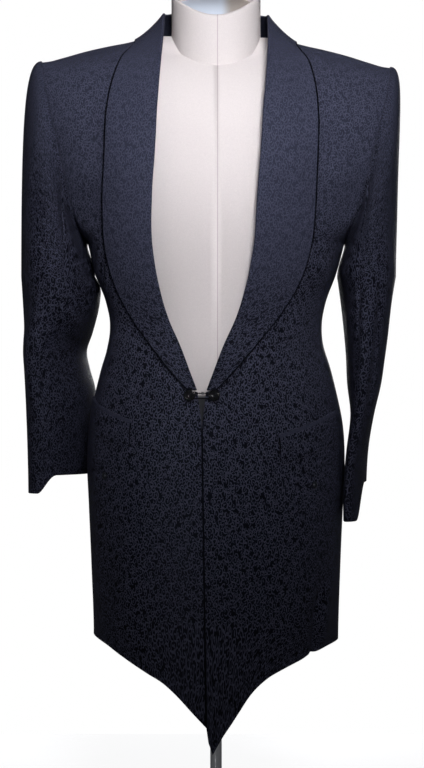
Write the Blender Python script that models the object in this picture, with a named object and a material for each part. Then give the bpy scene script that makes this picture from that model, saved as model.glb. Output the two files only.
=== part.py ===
"""A long evening coat with a shawl collar, on a limbless dress form with a pole and a round base.

Metres, +Z up, the coat's front towards -Y, the wearer's left at +X. The origin is the centre of the
base's underside. Every cloth piece is a closed wall. Its points come from three surfaces worked out
from the tables below: the body, the sleeves, and the strip of the collar. Each is worked out for the
wearer's left half, at x above 0, and swing() then puts the half on its own side and leans the fronts
as they hang.
"""

import math

import bmesh
import bpy
import numpy as np
from mathutils import Vector

# Cloth walls and seams
PANEL = 0.0016
COLLAR = 0.0014
FLAP = 0.0016
SEAM = 0.0003
ARMHOLE_SEAM = 0.0004
LAY = 0.0010
BUTTON_GAP = 0.0006
WELD = 1e-6
HALVINGS = 26

# Heights on the body
FOOT = 0.080
UNDERARM = 0.745
SHOULDER = 0.9755

# The shoulder ridge, and the armhole's half widths to the front and to the back
RIDGE_Y = 0.012
ARMHOLE_FRONT = 0.062
ARMHOLE_BACK = 0.066
ARMHOLE_ROUND = 0.85
ARMHOLE_AXIS = np.array((0.969, 0.0, -0.246))

# Sections of the body: half width to the side seam or armhole, depth to the front and to the back
BODY_COLUMNS = ("height", "side", "front", "back")
BODY = (
    (0.080, 0.1600, 0.1190, 0.1180),
    (0.235, 0.1595, 0.1185, 0.1190),
    (0.330, 0.1625, 0.1175, 0.1210),
    (0.410, 0.1660, 0.1165, 0.1240),
    (0.458, 0.1680, 0.1155, 0.1250),
    (0.507, 0.1655, 0.1120, 0.1210),
    (0.552, 0.1565, 0.1060, 0.1110),
    (0.578, 0.1500, 0.1020, 0.1030),
    (0.617, 0.1390, 0.0985, 0.0950),
    (0.637, 0.1380, 0.0985, 0.0925),
    (0.669, 0.1440, 0.1020, 0.0930),
    (0.700, 0.1555, 0.1085, 0.0960),
    (0.745, 0.1680, 0.1180, 0.1020),
    (0.767, 0.1775, 0.1220, 0.1050),
    (0.800, 0.1880, 0.1240, 0.1085),
    (0.845, 0.1985, 0.1195, 0.1120),
    (0.890, 0.2085, 0.1120, 0.1130),
    (0.936, 0.2190, 0.1020, 0.1100),
    (0.976, 0.2265, 0.0930, 0.1040),
)
SQUARENESS = 2.2
# Over this share of the height from underarm to shoulder the section opens from an oval to a flat arc
FLATTENS = 0.345
FLATNESS = 0.42
# How closely the armhole's round bottom is kept to the cloth beside it
HOLE_REACH = 12

# Height of the shoulder ridge, from the neck to the tip
RIDGE_COLUMNS = ("out", "height")
RIDGE = (
    (0.0000, 1.0750),
    (0.0200, 1.0660),
    (0.0400, 1.0460),
    (0.0600, 1.0265),
    (0.0745, 1.0160),
    (0.0900, 1.0098),
    (0.1085, 1.0042),
    (0.1410, 0.9972),
    (0.1670, 0.9910),
    (0.1995, 0.9815),
    (0.2165, 0.9768),
    (0.2265, 0.9755),
)

# The roll line and the leaf's outer edge, as distances from the centre front
LAPEL_COLUMNS = ("height", "roll", "edge")
LAPEL = (
    (0.5500, 0.0060, 0.0165),
    (0.5600, 0.0095, 0.0260),
    (0.5730, 0.0145, 0.0380),
    (0.6050, 0.0265, 0.0640),
    (0.6430, 0.0430, 0.0920),
    (0.6780, 0.0535, 0.1125),
    (0.7130, 0.0605, 0.1255),
    (0.7400, 0.0640, 0.1310),
    (0.7900, 0.0655, 0.1340),
    (0.8500, 0.0660, 0.1340),
    (0.9100, 0.0665, 0.1335),
    (0.9420, 0.0668, 0.1305),
    (0.9690, 0.0670, 0.1250),
    (0.9880, 0.0670, 0.1187),
    (1.0060, 0.0665, 0.1050),
    (1.0200, 0.0665, 0.1045),
)
LEAF_END = 0.5521
STEP_TOP = 0.5515
STEP_FOOT = 0.5500
UNDER_WIDTH = 0.0080
UNDER_WIDTH_END = 0.0045
ROLL_RADIUS = 0.0016

# The front edges part a little around the link
PARTING_COLUMNS = ("height", "apart")
PARTING = (
    (0.0800, 0.0002),
    (0.4900, 0.0002),
    (0.5050, 0.0006),
    (0.5250, 0.0026),
    (0.5400, 0.0044),
    (0.5500, 0.0056),
)

# The neckline and the collar round the back of the neck, half widths and depths seen from above
NECKLINE = (0.0745, 0.0720)
LEAF_INNER = (0.0725, 0.0670)
LEAF_OUTER = (0.1112, 0.1225)
LEAF_OUTER_Y = -0.030
BACK_LAY = 0.0009
FOLD = (0.0680, 0.0585)
FOLD_SIDE_HEIGHT = 1.0408
FOLD_BACK_HEIGHT = 1.0585
STAND_STARTS = 0.72
STAND_RISE = 0.0196
STAND_CURVE = 1.6
# How soon the leaf comes down from the roll onto the cloth: at the neck, and added on the lapel
LEAF_FADE = 1.25
LAPEL_FADE = 4.0

# Hems, by distance from the centre front
HEM_COLUMNS = ("out", "right", "left")
HEM = (
    (0.0000, 0.1330, 0.1310),
    (0.0035, 0.1370, 0.1080),
    (0.0068, 0.1405, 0.1000),
    (0.0120, 0.1460, 0.1080),
    (0.0200, 0.1545, 0.1215),
    (0.0300, 0.1655, 0.1360),
    (0.0400, 0.1755, 0.1510),
    (0.0550, 0.1880, 0.1730),
    (0.0750, 0.1990, 0.1920),
    (0.0950, 0.2100, 0.2030),
    (0.1150, 0.2210, 0.2120),
    (0.1350, 0.2315, 0.2205),
    (0.1500, 0.2360, 0.2260),
    (0.1600, 0.2375, 0.2290),
)
BACK_HEM_DROP = 0.004

# How far the fronts lean to the wearer's right, and the lower shoulder
LEAN_COLUMNS = ("height", "lean")
LEAN = (
    (0.080, 0.0115),
    (0.133, 0.0122),
    (0.245, 0.0142),
    (0.345, 0.0158),
    (0.470, 0.0176),
    (0.560, 0.0180),
    (0.660, 0.0185),
    (0.740, 0.0182),
    (0.800, 0.0160),
    (0.850, 0.0118),
    (0.905, 0.0085),
    (0.945, 0.0050),
    (1.000, 0.0010),
    (1.060, 0.0000),
)
LEAN_REACH = 0.200
LEAN_BACK = 0.010
LEAN_FRONT = -0.060
SHOULDER_TILT = 0.016
TILT_FROM = 0.80
TILT_TO = 0.97

# Sleeve sections: centre, half depth, half width, turn of the front end outwards
SLEEVE_COLUMNS = ("height", "out", "back", "deep", "wide", "turn")
SLEEVES = {
    "right": (
        (0.4000, 0.2028, 0.0345, 0.0600, 0.0285, 31.0),
        (0.4547, 0.2022, 0.0340, 0.0625, 0.0290, 31.0),
        (0.5067, 0.2026, 0.0325, 0.0650, 0.0300, 30.0),
        (0.5560, 0.2045, 0.0300, 0.0675, 0.0298, 29.0),
        (0.5800, 0.2083, 0.0285, 0.0685, 0.0273, 26.0),
        (0.6040, 0.2108, 0.0265, 0.0695, 0.0289, 22.0),
        (0.6280, 0.2068, 0.0245, 0.0705, 0.0369, 19.0),
        (0.6700, 0.2019, 0.0165, 0.0715, 0.0472, 10.0),
        (0.6850, 0.2018, 0.0130, 0.0720, 0.0488, 6.0),
        (0.7000, 0.2057, 0.0110, 0.0725, 0.0461, 3.0),
    ),
    "left": (
        (0.3700, 0.1830, 0.0230, 0.0590, 0.0102, -11.0),
        (0.4300, 0.1834, 0.0220, 0.0610, 0.0102, -11.0),
        (0.4740, 0.1862, 0.0215, 0.0625, 0.0110, -9.0),
        (0.5236, 0.1920, 0.0205, 0.0645, 0.0142, -6.0),
        (0.5600, 0.1940, 0.0190, 0.0660, 0.0206, -4.0),
        (0.6000, 0.1957, 0.0180, 0.0680, 0.0242, -2.0),
        (0.6400, 0.1965, 0.0170, 0.0695, 0.0285, 0.0),
        (0.6760, 0.1970, 0.0160, 0.0710, 0.0330, 2.0),
        (0.7000, 0.1970, 0.0130, 0.0720, 0.0366, 2.0),
    ),
}
SLEEVE_BREAK = 0.700
CUFF_HEIGHT = {"right": 0.4425, "left": 0.4320}
CUFF_DROP = {"right": 0.0235, "left": 0.0482}
# Angles where the drop begins, is full, eases and ends, from the outside over the front, in degrees
CUFF_FALL = {"right": (-30, 20, 98, 136), "left": (4, 50, 110, 230)}
FOREARM_SEAM = 112.0
HINDARM_SEAM = 238.0
SLEEVE_RADIUS = 0.055
CAP_STEPS = (0.0, 0.05, 0.12, 0.22, 0.34, 0.48, 0.64, 0.82)
CAP_LIFT = 0.021
LOWER_SLEEVE_ROWS = 10
TOP_SLEEVE_COLUMNS = 15
UNDER_SLEEVE_COLUMNS = 9

# Pocket flaps: height of the upper inner corner on each side
FLAP_INNER = 0.0915
FLAP_LENGTH = 0.100
FLAP_DEPTH = 0.038
FLAP_RISE = 0.30
FLAP_TOP = {"right": 0.5140, "left": 0.4960}
FLAP_CORNER = 0.008
FLAP_COLUMNS = 9
FLAP_ROWS = 4

# Buttons, cord and studs
LINK_BUTTON_RADIUS = 0.0075
LINK_BUTTON_OUT = 0.0150
LINK_BUTTON_HEIGHT = 0.5450
LINK_BUTTON_DOME = 0.0042
SHANK_RADIUS = 0.0017
SHANK_HEIGHT = 0.0034
CORD_RADIUS = 0.0009
CORD_HEIGHT = 0.0020
CORD_LOOP = 0.0032
CLASP_WALL = 0.0007
CLASP_LENGTH = 0.0032
CLASP_ASIDE = 0.06
CUFF_BUTTON_RADIUS = 0.0070
CUFF_BUTTON_DOME = 0.0024
CUFF_SHANK_RADIUS = 0.0030
CUFF_SHANK_HEIGHT = 0.0009
CUFF_BUTTONS = 4
CUFF_BUTTON_PITCH = 0.0155
CUFF_BUTTON_TURN = {"right": 318.0, "left": 318.0}
CUFF_BUTTON_LOWEST = {"right": 0.4560, "left": 0.4420}
STUD_RADIUS = 0.0045
STUD_HEIGHT = 0.0026
STUDS = {"right": (0.1310, 0.4440), "left": (0.1340, 0.4320)}

# Dress form and stand
FORM_CLEARANCE = {-1: 0.0160, 1: 0.0080}
FORM_REST = 0.0007
FORM_END = 0.955
FORM_BOTTOM = 0.405
FORM_TOP = 1.0145
FORM_HEIGHTS = (FORM_BOTTOM, 0.45, 0.50, 0.545, 0.585, 0.62, 0.66, 0.70, 0.745)
FORM_RIDGE_LEVEL = 1.99
FORM_COLUMNS = 9
# The levels between which the form closes up to the cloth, on the shoulders
FORM_CLOSES = (1.84, 1.96)
NECK_HALF_WIDTH = 0.0580
NECK_HALF_DEPTH = 0.0560
NECK_Y = 0.005
NECK_FOOT = 0.960
RIM_FRONT = 1.030
RIM_SLOPE = 0.45
RIM_DIP = 6.5
RIM_WALL = 0.0050
RIM_BEVEL = 0.0015
RIM_DEPTH = 0.0100
CAP_THICK = 0.0060
POLE_RADIUS = 0.0075
POLE_SEGMENTS = 20
BASE_RADIUS = 0.1500
BASE_THICK = 0.0120
BASE_ROUND = 0.0030
BASE_TOP = 0.0160
BASE_SEGMENTS = 32
HUB_RADIUS = 0.0200
HUB_ROUND = 0.0030
HUB_TOP = 0.0360

# Materials: colour, roughness, metallic
MATERIALS = {
    "jacquard": ((0.010, 0.010, 0.016), 0.62, 0.0),
    "black_button": ((0.006, 0.006, 0.007), 0.22, 0.0),
    "black_cord": ((0.008, 0.008, 0.010), 0.55, 0.0),
    "bright_metal": ((0.72, 0.71, 0.69), 0.22, 1.0),
    "form_cover": ((0.86, 0.79, 0.77), 0.80, 0.0),
    "cap_board": ((0.38, 0.32, 0.28), 0.70, 0.0),
    "stand_metal": ((0.60, 0.60, 0.61), 0.32, 1.0),
}
SIDES = {"right": -1, "left": 1}


def curve(table, columns, name, at):
    """A named column of a table, read at any place along its first column, on a smooth curve."""
    rows = np.array(table, float)
    keys, values = rows[:, 0], rows[:, columns.index(name)]
    slopes = np.gradient(values, keys)
    at = np.clip(np.asarray(at, float), keys[0], keys[-1])
    i = np.clip(np.searchsorted(keys, at) - 1, 0, len(keys) - 2)
    step = keys[i + 1] - keys[i]
    f = (at - keys[i]) / step
    return (
        (1 + 2 * f) * (1 - f) ** 2 * values[i]
        + f * (1 - f) ** 2 * step * slopes[i]
        + f**2 * (3 - 2 * f) * values[i + 1]
        - f**2 * (1 - f) * step * slopes[i + 1]
    )


def smooth(x):
    """A soft step from 0 to 1."""
    x = np.clip(x, 0, 1)
    return x * x * (3 - 2 * x)


def unit(vectors):
    return vectors / np.linalg.norm(vectors, axis=-1, keepdims=True)


def level_of(height):
    """The level, 0 to 1, of a height below the underarm."""
    return (height - FOOT) / (UNDERARM - FOOT)


# The body's surface


def body(level, turn, face, top=9.0):
    """A point of the coat's outer face.

    Level runs from 0 at the foot over 1 at the underarm to 2 on the shoulder. Turn runs from 0 at the
    centre to 1 at the side seam or armhole. Face is -1 for the front and 1 for the back.
    """
    level, turn = np.broadcast_arrays(np.asarray(level, float), np.asarray(turn, float))
    climb = np.clip(level - 1, 0, 1)
    rise = (1 - np.cos(math.pi * climb)) / 2
    height = np.where(
        level < 1, FOOT + (UNDERARM - FOOT) * level, UNDERARM + (SHOULDER - UNDERARM) * rise
    )
    side = curve(BODY, BODY_COLUMNS, "side", height)
    depth = curve(BODY, BODY_COLUMNS, "front" if face < 0 else "back", height)
    swell = np.sin(math.pi * climb)
    hole = ARMHOLE_FRONT if face < 0 else ARMHOLE_BACK
    centre_y = RIDGE_Y + face * (depth - face * RIDGE_Y) * np.where(climb > 0.5, swell, 1)
    flat = np.clip(rise / FLATTENS, 0, 1)
    flat = flat * flat * (3 - 2 * flat)
    across = (1 - flat) * np.sin(turn * math.pi / 2) ** (2 / SQUARENESS) + flat * turn
    near_hole = flat + (1 - flat) * across**HOLE_REACH
    edge_y = RIDGE_Y + face * hole * swell**ARMHOLE_ROUND * near_hole
    bulge = np.clip(1 - across**SQUARENESS, 0, 1) ** (0.5 + FLATNESS * flat)
    x = side * across
    y = edge_y + (centre_y - edge_y) * bulge
    ridge = np.minimum(curve(RIDGE, RIDGE_COLUMNS, "height", x), top)
    z = np.where(level < 1, height, UNDERARM + (ridge - UNDERARM) * rise)
    return np.stack([x, y, z], axis=-1)


def body_normal(level, turn, face, top=9.0):
    """The direction straight out of the cloth."""
    d = 0.002
    level, turn = np.broadcast_arrays(np.asarray(level, float), np.asarray(turn, float))
    above, below = np.clip(level + d, 0, 2), np.clip(level - d, 0, 2)
    outer, inner = np.clip(turn + d, 0, 1), np.clip(turn - d, 0, 1)
    up = body(above, turn, face, top) - body(below, turn, face, top)
    along = body(level, outer, face, top) - body(level, inner, face, top)
    return unit(np.cross(along, up) * -face)


def armhole_normal(level, face):
    """The direction out of the armhole's edge, in its own plane, shared by both sides of the seam."""
    d = 0.002
    run = body(np.clip(level + d, 1, 2), 1.0, face) - body(np.clip(level - d, 1, 2), 1.0, face)
    return unit(np.cross(run, ARMHOLE_AXIS) * face)


def turn_at(level, x, face):
    """The turn at which a level is x from the centre."""
    shape = np.broadcast(level, x).shape
    low, high = np.zeros(shape), np.ones(shape)
    for _ in range(HALVINGS):
        middle = (low + high) / 2
        outside = body(level, middle, face)[..., 0] > x
        high = np.where(outside, middle, high)
        low = np.where(outside, low, middle)
    return (low + high) / 2


def upper_back(x, y):
    """The level and turn of the upper back's point that is at x, y seen from above."""
    low, high = np.full(np.shape(x), 1.5), np.full(np.shape(x), 2.0)
    for _ in range(HALVINGS):
        middle = (low + high) / 2
        behind = body(middle, turn_at(middle, x, 1), 1)[..., 1] > y
        low = np.where(behind, middle, low)
        high = np.where(behind, high, middle)
    level = (low + high) / 2
    return level, turn_at(level, x, 1)


# How the coat hangs


def swing(points, side):
    """Puts points of the wearer's left half on their own side and leans the fronts."""
    p = np.array(points, float)
    x, y, z = p[..., 0], p[..., 1], p[..., 2]
    ahead = np.clip((LEAN_BACK - y) / (LEAN_BACK - LEAN_FRONT), 0, 1)
    ahead = ahead * ahead * (3 - 2 * ahead)
    inner = np.clip(1 - (x / LEAN_REACH) ** 2, 0, 1)
    lean = curve(LEAN, LEAN_COLUMNS, "lean", z) * ahead * inner
    return tilt(np.stack([SIDES[side] * x, y, z], axis=-1)) - np.stack([lean, 0 * y, 0 * z], axis=-1)


def tilt(points):
    """Lowers the shoulder of the wearer's left and raises the other."""
    x, y, z = points[..., 0], points[..., 1], points[..., 2]
    high = np.clip((z - TILT_FROM) / (TILT_TO - TILT_FROM), 0, 1)
    high = high * high * (3 - 2 * high)
    return np.stack([x, y, z - SHOULDER_TILT * high * x], axis=-1)


# Building meshes


def material(name):
    found = bpy.data.materials.get(name)
    if found:
        return found
    colour, roughness, metallic = MATERIALS[name]
    made = bpy.data.materials.new(name)
    made.use_nodes = True
    shader = made.node_tree.nodes["Principled BSDF"]
    shader.inputs["Base Color"].default_value = (*colour, 1)
    shader.inputs["Roughness"].default_value = roughness
    shader.inputs["Metallic"].default_value = metallic
    made.diffuse_color = (*colour, 1)
    return made


def object_from(name, points, faces, finish, smooth=True):
    """A closed mesh object with its faces turned outwards."""
    mesh = bpy.data.meshes.new(name)
    mesh.from_pydata([tuple(p) for p in points], [], faces)
    work = bmesh.new()
    work.from_mesh(mesh)
    bmesh.ops.remove_doubles(work, verts=work.verts, dist=WELD)
    bmesh.ops.recalc_face_normals(work, faces=work.faces)
    work.to_mesh(mesh)
    work.free()
    for polygon in mesh.polygons:
        polygon.use_smooth = smooth
    made = bpy.data.objects.new(name, mesh)
    made.data.materials.append(material(finish))
    bpy.context.scene.collection.objects.link(made)
    return made


def wall(name, outer, inner, finish):
    """A closed wall between two grids of points with the same rows and columns."""
    rows, columns = outer.shape[:2]
    points = np.concatenate([outer.reshape(-1, 3), inner.reshape(-1, 3)])
    half = rows * columns

    def at(r, c, layer):
        return layer * half + r * columns + c

    faces = []
    for r in range(rows - 1):
        for c in range(columns - 1):
            faces.append((at(r, c, 0), at(r, c + 1, 0), at(r + 1, c + 1, 0), at(r + 1, c, 0)))
            faces.append((at(r, c, 1), at(r + 1, c, 1), at(r + 1, c + 1, 1), at(r, c + 1, 1)))
    border = [(0, c) for c in range(columns)]
    border += [(r, columns - 1) for r in range(1, rows)]
    border += [(rows - 1, c) for c in range(columns - 2, -1, -1)]
    border += [(r, 0) for r in range(rows - 2, 0, -1)]
    for (r0, c0), (r1, c1) in zip(border, border[1:] + border[:1]):
        faces.append((at(r0, c0, 1), at(r1, c1, 1), at(r1, c1, 0), at(r0, c0, 0)))
    return object_from(name, points, faces, finish)


def hung_wall(name, side, outer, inner):
    """A wall of the coat on one side, kept half a seam from the centre planes before it is leaned."""
    for grid in (outer, inner):
        grid[..., 0] = np.maximum(grid[..., 0], SEAM / 2)
    return wall(name, swing(outer, side), swing(inner, side), "jacquard")


def lathe(name, profile, segments, finish):
    """A solid of revolution about Z from (radius, height) pairs that start and end on the axis."""
    points = [(0, 0, profile[0][1])]
    for radius, height in profile[1:-1]:
        for k in range(segments):
            a = 2 * math.pi * k / segments
            points.append((radius * math.cos(a), radius * math.sin(a), height))
    points.append((0, 0, profile[-1][1]))
    last = len(points) - 1
    rings = len(profile) - 2
    faces = []
    for k in range(segments):
        n = (k + 1) % segments
        faces.append((0, 1 + n, 1 + k))
        for r in range(rings - 1):
            low, high = 1 + r * segments, 1 + (r + 1) * segments
            faces.append((low + k, low + n, high + n, high + k))
        top = 1 + (rings - 1) * segments
        faces.append((top + k, top + n, last))
    return object_from(name, points, faces, finish)


def stand_on(piece, point, normal, gap):
    """Turns a piece's +Z along a normal and stands it a gap above a point."""
    normal = Vector(normal).normalized()
    piece.rotation_mode = "QUATERNION"
    piece.rotation_quaternion = normal.to_track_quat("Z", "Y")
    piece.location = Vector(point) + normal * gap
    return piece


# Fronts and backs

SKIRT_HEIGHTS = (0.260, 0.300, 0.345, 0.395, 0.445, 0.490, 0.515, 0.535)
CHEST_HEIGHTS = (0.575, 0.600, 0.630, 0.655, 0.682, 0.712, 0.745)
BACK_HEIGHTS = (0.30, 0.36, 0.42, 0.47, 0.515, 0.555, 0.59, 0.625, 0.66, 0.70, 0.745)
UPPER_LEVELS = (1.10, 1.20, 1.30, 1.41, 1.52, 1.63, 1.73, 1.82, 1.90, 1.96)
TOP_LEVEL = 1.9995
SEAM_TURN = 0.9991
FRONT_SHARES = (0.0, 0.022, 0.055, 0.12, 0.22, 0.32, 0.42, 0.52, 0.62, 0.72, 0.82, 0.91, 1.0)
HEM_ROWS = 3
BACK_SIDE_COLUMNS = 8
# Angles round the back of the neck, from the centre back to the shoulder
BACK_ANGLES = (0.0, 20.0, 38.0, 54.0, 67.0, 79.0, 90.0)


def under_width(height):
    """How far the panel's edge stays outside the roll line, under the lapel."""
    f = np.clip((height - LEAF_END) / 0.06, 0, 1)
    return UNDER_WIDTH_END + (UNDER_WIDTH - UNDER_WIDTH_END) * f


def front_edge(height):
    """Distance from the centre front to the panel's free edge."""
    parted = curve(PARTING, PARTING_COLUMNS, "apart", height)
    rolled = curve(LAPEL, LAPEL_COLUMNS, "roll", height) + under_width(height)
    return np.where(height < (STEP_TOP + STEP_FOOT) / 2, parted, rolled)


def edge_height(level):
    """Height of the panel's inner edge at a level, which climbs towards the neck above the underarm."""
    level = np.asarray(level, float)
    height = body(level, 0.4, -1)[..., 2]
    for _ in range(6):
        x = front_edge(height)
        height = body(level, turn_at(level, x, -1), -1)[..., 2]
    return height


def panel_layers(level, turn, face):
    """The outer and inner points of a panel, with the armhole's edge offset in the armhole's plane."""
    outer = body(level, turn, face)
    normal = body_normal(level, turn, face)
    edge = level[:, -1] > 1
    normal[edge, -1] = armhole_normal(level[edge, -1], face)
    return outer, outer - normal * PANEL


def front(side):
    below = [level_of(h) for h in SKIRT_HEIGHTS] + [level_of(STEP_FOOT), level_of(STEP_TOP)]
    rows = np.array(below + [level_of(h) for h in CHEST_HEIGHTS] + list(UPPER_LEVELS) + [TOP_LEVEL])
    inner_turn = turn_at(rows, front_edge(edge_height(rows)), -1)
    inner_turn[: len(below) - 1] = turn_at(
        rows[: len(below) - 1], front_edge(np.array(SKIRT_HEIGHTS + (STEP_FOOT,))), -1
    )
    share = np.array(FRONT_SHARES)
    turn = inner_turn[:, None] + (SEAM_TURN - inner_turn[:, None]) * share
    level = np.repeat(rows[:, None], len(share), axis=1)
    hem_turn = turn[0]
    hem = curve(HEM, HEM_COLUMNS, side, body(0.0, hem_turn, -1)[..., 0])
    low = level_of(hem)
    steps = np.linspace(0, 1, HEM_ROWS, endpoint=False)[:, None]
    level = np.concatenate([low + (level[0] - low) * steps, level])
    turn = np.concatenate([np.repeat(hem_turn[None], HEM_ROWS, axis=0), turn])
    return hung_wall(f"front_{side}", side, *panel_layers(level, turn, -1))


def neckline_level(turn):
    """The level at which each column of the upper back meets the neckline."""
    low, high = np.full(np.shape(turn), 1.5), np.full(np.shape(turn), TOP_LEVEL)
    for _ in range(HALVINGS):
        middle = (low + high) / 2
        point = body(middle, turn, 1)
        ahead = (point[..., 0] / NECKLINE[0]) ** 2 + ((point[..., 1] - RIDGE_Y) / NECKLINE[1]) ** 2
        low = np.where(ahead > 1, middle, low)
        high = np.where(ahead > 1, high, middle)
    return low


def back(side):
    split = float(turn_at(np.array(TOP_LEVEL), NECKLINE[0], 1))
    angles = np.radians(BACK_ANGLES[:-1])
    neck_turns = upper_back(NECKLINE[0] * np.sin(angles), RIDGE_Y + NECKLINE[1] * np.cos(angles))[1]
    turn = np.concatenate([neck_turns, split + (SEAM_TURN - split) * np.linspace(0, 1, BACK_SIDE_COLUMNS)])
    turn[0] = 0.0008
    top = np.full(turn.shape, TOP_LEVEL)
    top[: len(angles)] = neckline_level(turn[: len(angles)])
    side_hem = float(curve(HEM, HEM_COLUMNS, side, HEM[-1][0]))
    hem = level_of(side_hem - BACK_HEM_DROP * (1 - turn**2))
    lower = np.repeat(np.array([level_of(h) for h in BACK_HEIGHTS])[:, None], len(turn), axis=1)
    climb = (np.array(UPPER_LEVELS + (TOP_LEVEL,))[:, None] - 1) / (TOP_LEVEL - 1)
    level = np.concatenate([hem[None], lower, 1 + (top - 1) * climb])
    turn = np.repeat(turn[None], len(level), axis=0)
    return hung_wall(f"back_{side}", side, *panel_layers(level, turn, 1))


# Shawl collar and lapel

COLLAR_UPPER = (1.96, 1.90, 1.82, 1.73, 1.63, 1.52, 1.41, 1.30, 1.20, 1.10)
COLLAR_LOWER = (0.745, 0.712, 0.682, 0.655, 0.630, 0.600, 0.575, 0.561, LEAF_END)
STAND_POINTS = 3
ROLL_POINTS = 5
LEAF_POINTS = 7


def collar_rows(leaf_points):
    """Rows from the centre back to the lapel's end: seam point, roll centre, leaf's rest points, fade."""
    q = np.linspace(0, 1, leaf_points)
    seams, centres, rests, normals, fades = [], [], [], [], []
    for angle in np.radians(BACK_ANGLES):
        sine, cosine = math.sin(angle), math.cos(angle)
        x, y = NECKLINE[0] * sine, RIDGE_Y + NECKLINE[1] * cosine
        level, turn = upper_back(np.array(x), np.array(y))
        seams.append(body(level, turn, 1) - body_normal(level, turn, 1) * PANEL / 2)
        high = FOLD_SIDE_HEIGHT + (FOLD_BACK_HEIGHT - FOLD_SIDE_HEIGHT) * cosine**2
        centres.append(np.array([FOLD[0] * sine, RIDGE_Y + FOLD[1] * cosine, high]))
        outer_y = RIDGE_Y + (LEAF_OUTER_Y + LEAF_OUTER[1] - RIDGE_Y) * cosine
        outer_x = LEAF_OUTER[0] * math.sqrt(max(0, 1 - ((outer_y - LEAF_OUTER_Y) / LEAF_OUTER[1]) ** 2))
        inner_x, inner_y = LEAF_INNER[0] * sine, RIDGE_Y + LEAF_INNER[1] * cosine
        level, turn = upper_back(inner_x + (outer_x - inner_x) * q, inner_y + (outer_y - inner_y) * q)
        normal = body_normal(level, turn, 1)
        rests.append(body(level, turn, 1) + normal * BACK_LAY * math.sin(2 * angle))
        normals.append(normal)
        fades.append(LEAF_FADE)
    lower = [level_of(h) for h in COLLAR_LOWER]
    for level in list(COLLAR_UPPER) + lower:
        level = np.array(level)
        height = edge_height(level)
        roll = curve(LAPEL, LAPEL_COLUMNS, "roll", height)
        edge = curve(LAPEL, LAPEL_COLUMNS, "edge", height)
        turn = turn_at(level, roll + under_width(height), -1)
        seams.append(body(level, turn, -1) - body_normal(level, turn, -1) * PANEL / 2)
        turn = turn_at(level, roll + ROLL_RADIUS, -1)
        up = max(0.0, (float(level) - 1 - STAND_STARTS) / (1 - STAND_STARTS))
        normal = body_normal(level, turn, -1)
        centre = body(level, turn, -1) + normal * (ROLL_RADIUS - PANEL / 2)
        centres.append(centre + np.array([0, 0, STAND_RISE * up**STAND_CURVE]))
        start = roll + ROLL_RADIUS + 0.0005 + 0.004 * up
        turn = turn_at(level, start + (edge - start) * q, -1)
        rests.append(body(level, turn, -1))
        normals.append(body_normal(level, turn, -1))
        fades.append(LEAF_FADE + LAPEL_FADE * (1 - min(1.0, up * 2)))
    return q, np.array(seams), np.array(centres), np.array(rests), np.array(normals), np.array(fades)


def collar(side):
    q, seams, centres, rests, normals, fades = collar_rows(LEAF_POINTS)
    run = np.gradient(centres, axis=0)
    up = centres - seams
    run = unit(run)
    up = unit(up - run * np.sum(up * run, axis=-1, keepdims=True))
    out = unit(np.cross(up, run))
    edge_normal = normals[:, 0]
    lift = SEAM + PANEL / 2 * np.abs(np.sum(up * edge_normal, axis=-1, keepdims=True))
    foot = seams + up * lift
    inner_turn = centres - out * ROLL_RADIUS
    path = [foot + (inner_turn - foot) * f for f in np.linspace(0, 1, STAND_POINTS)[:-1]]
    for angle in np.linspace(0, math.pi, ROLL_POINTS):
        path.append(centres + ROLL_RADIUS * (math.sin(angle) * up - math.cos(angle) * out))
    leaf = rests + normals * (LAY + COLLAR / 2)
    lifted = path[-1] - leaf[:, 0]
    for k in range(1, len(q)):
        path.append(leaf[:, k] + lifted * ((1 - q[k]) ** fades)[:, None])
    middle = np.stack(path, axis=1)
    along, across = np.gradient(middle, axis=0), np.gradient(middle, axis=1)
    normal = unit(np.cross(along, across))
    normal *= np.sign(np.sum(normal[len(normal) // 2, -1] * normals[len(normal) // 2, -1]))
    return hung_wall(f"collar_{side}", side, middle + normal * COLLAR / 2, middle - normal * COLLAR / 2)


# Sleeves


def sleeve_ring(side, height, phi):
    """A point of the sleeve below the break, by height and by the angle from its outside to its front."""
    table = SLEEVES[side]
    out, behind, deep, wide, turn = (
        curve(table, SLEEVE_COLUMNS, name, height) for name in SLEEVE_COLUMNS[1:]
    )
    turn = np.radians(turn)
    ahead, outward = deep * np.sin(phi), wide * np.cos(phi)
    x = out + ahead * np.sin(turn) + outward * np.cos(turn)
    y = behind - ahead * np.cos(turn) + outward * np.sin(turn)
    return np.stack(np.broadcast_arrays(x, y, height), axis=-1)


def armhole(phi):
    """A point of the armhole's edge: 0 on the shoulder, then over the front to pi at the underarm."""
    climb = (math.pi - np.where(phi > math.pi, 2 * math.pi - phi, phi)) / math.pi
    ahead, behind = body(1 + climb, 1.0, -1), body(1 + climb, 1.0, 1)
    return np.where((phi > math.pi)[..., None], behind, ahead)


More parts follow.
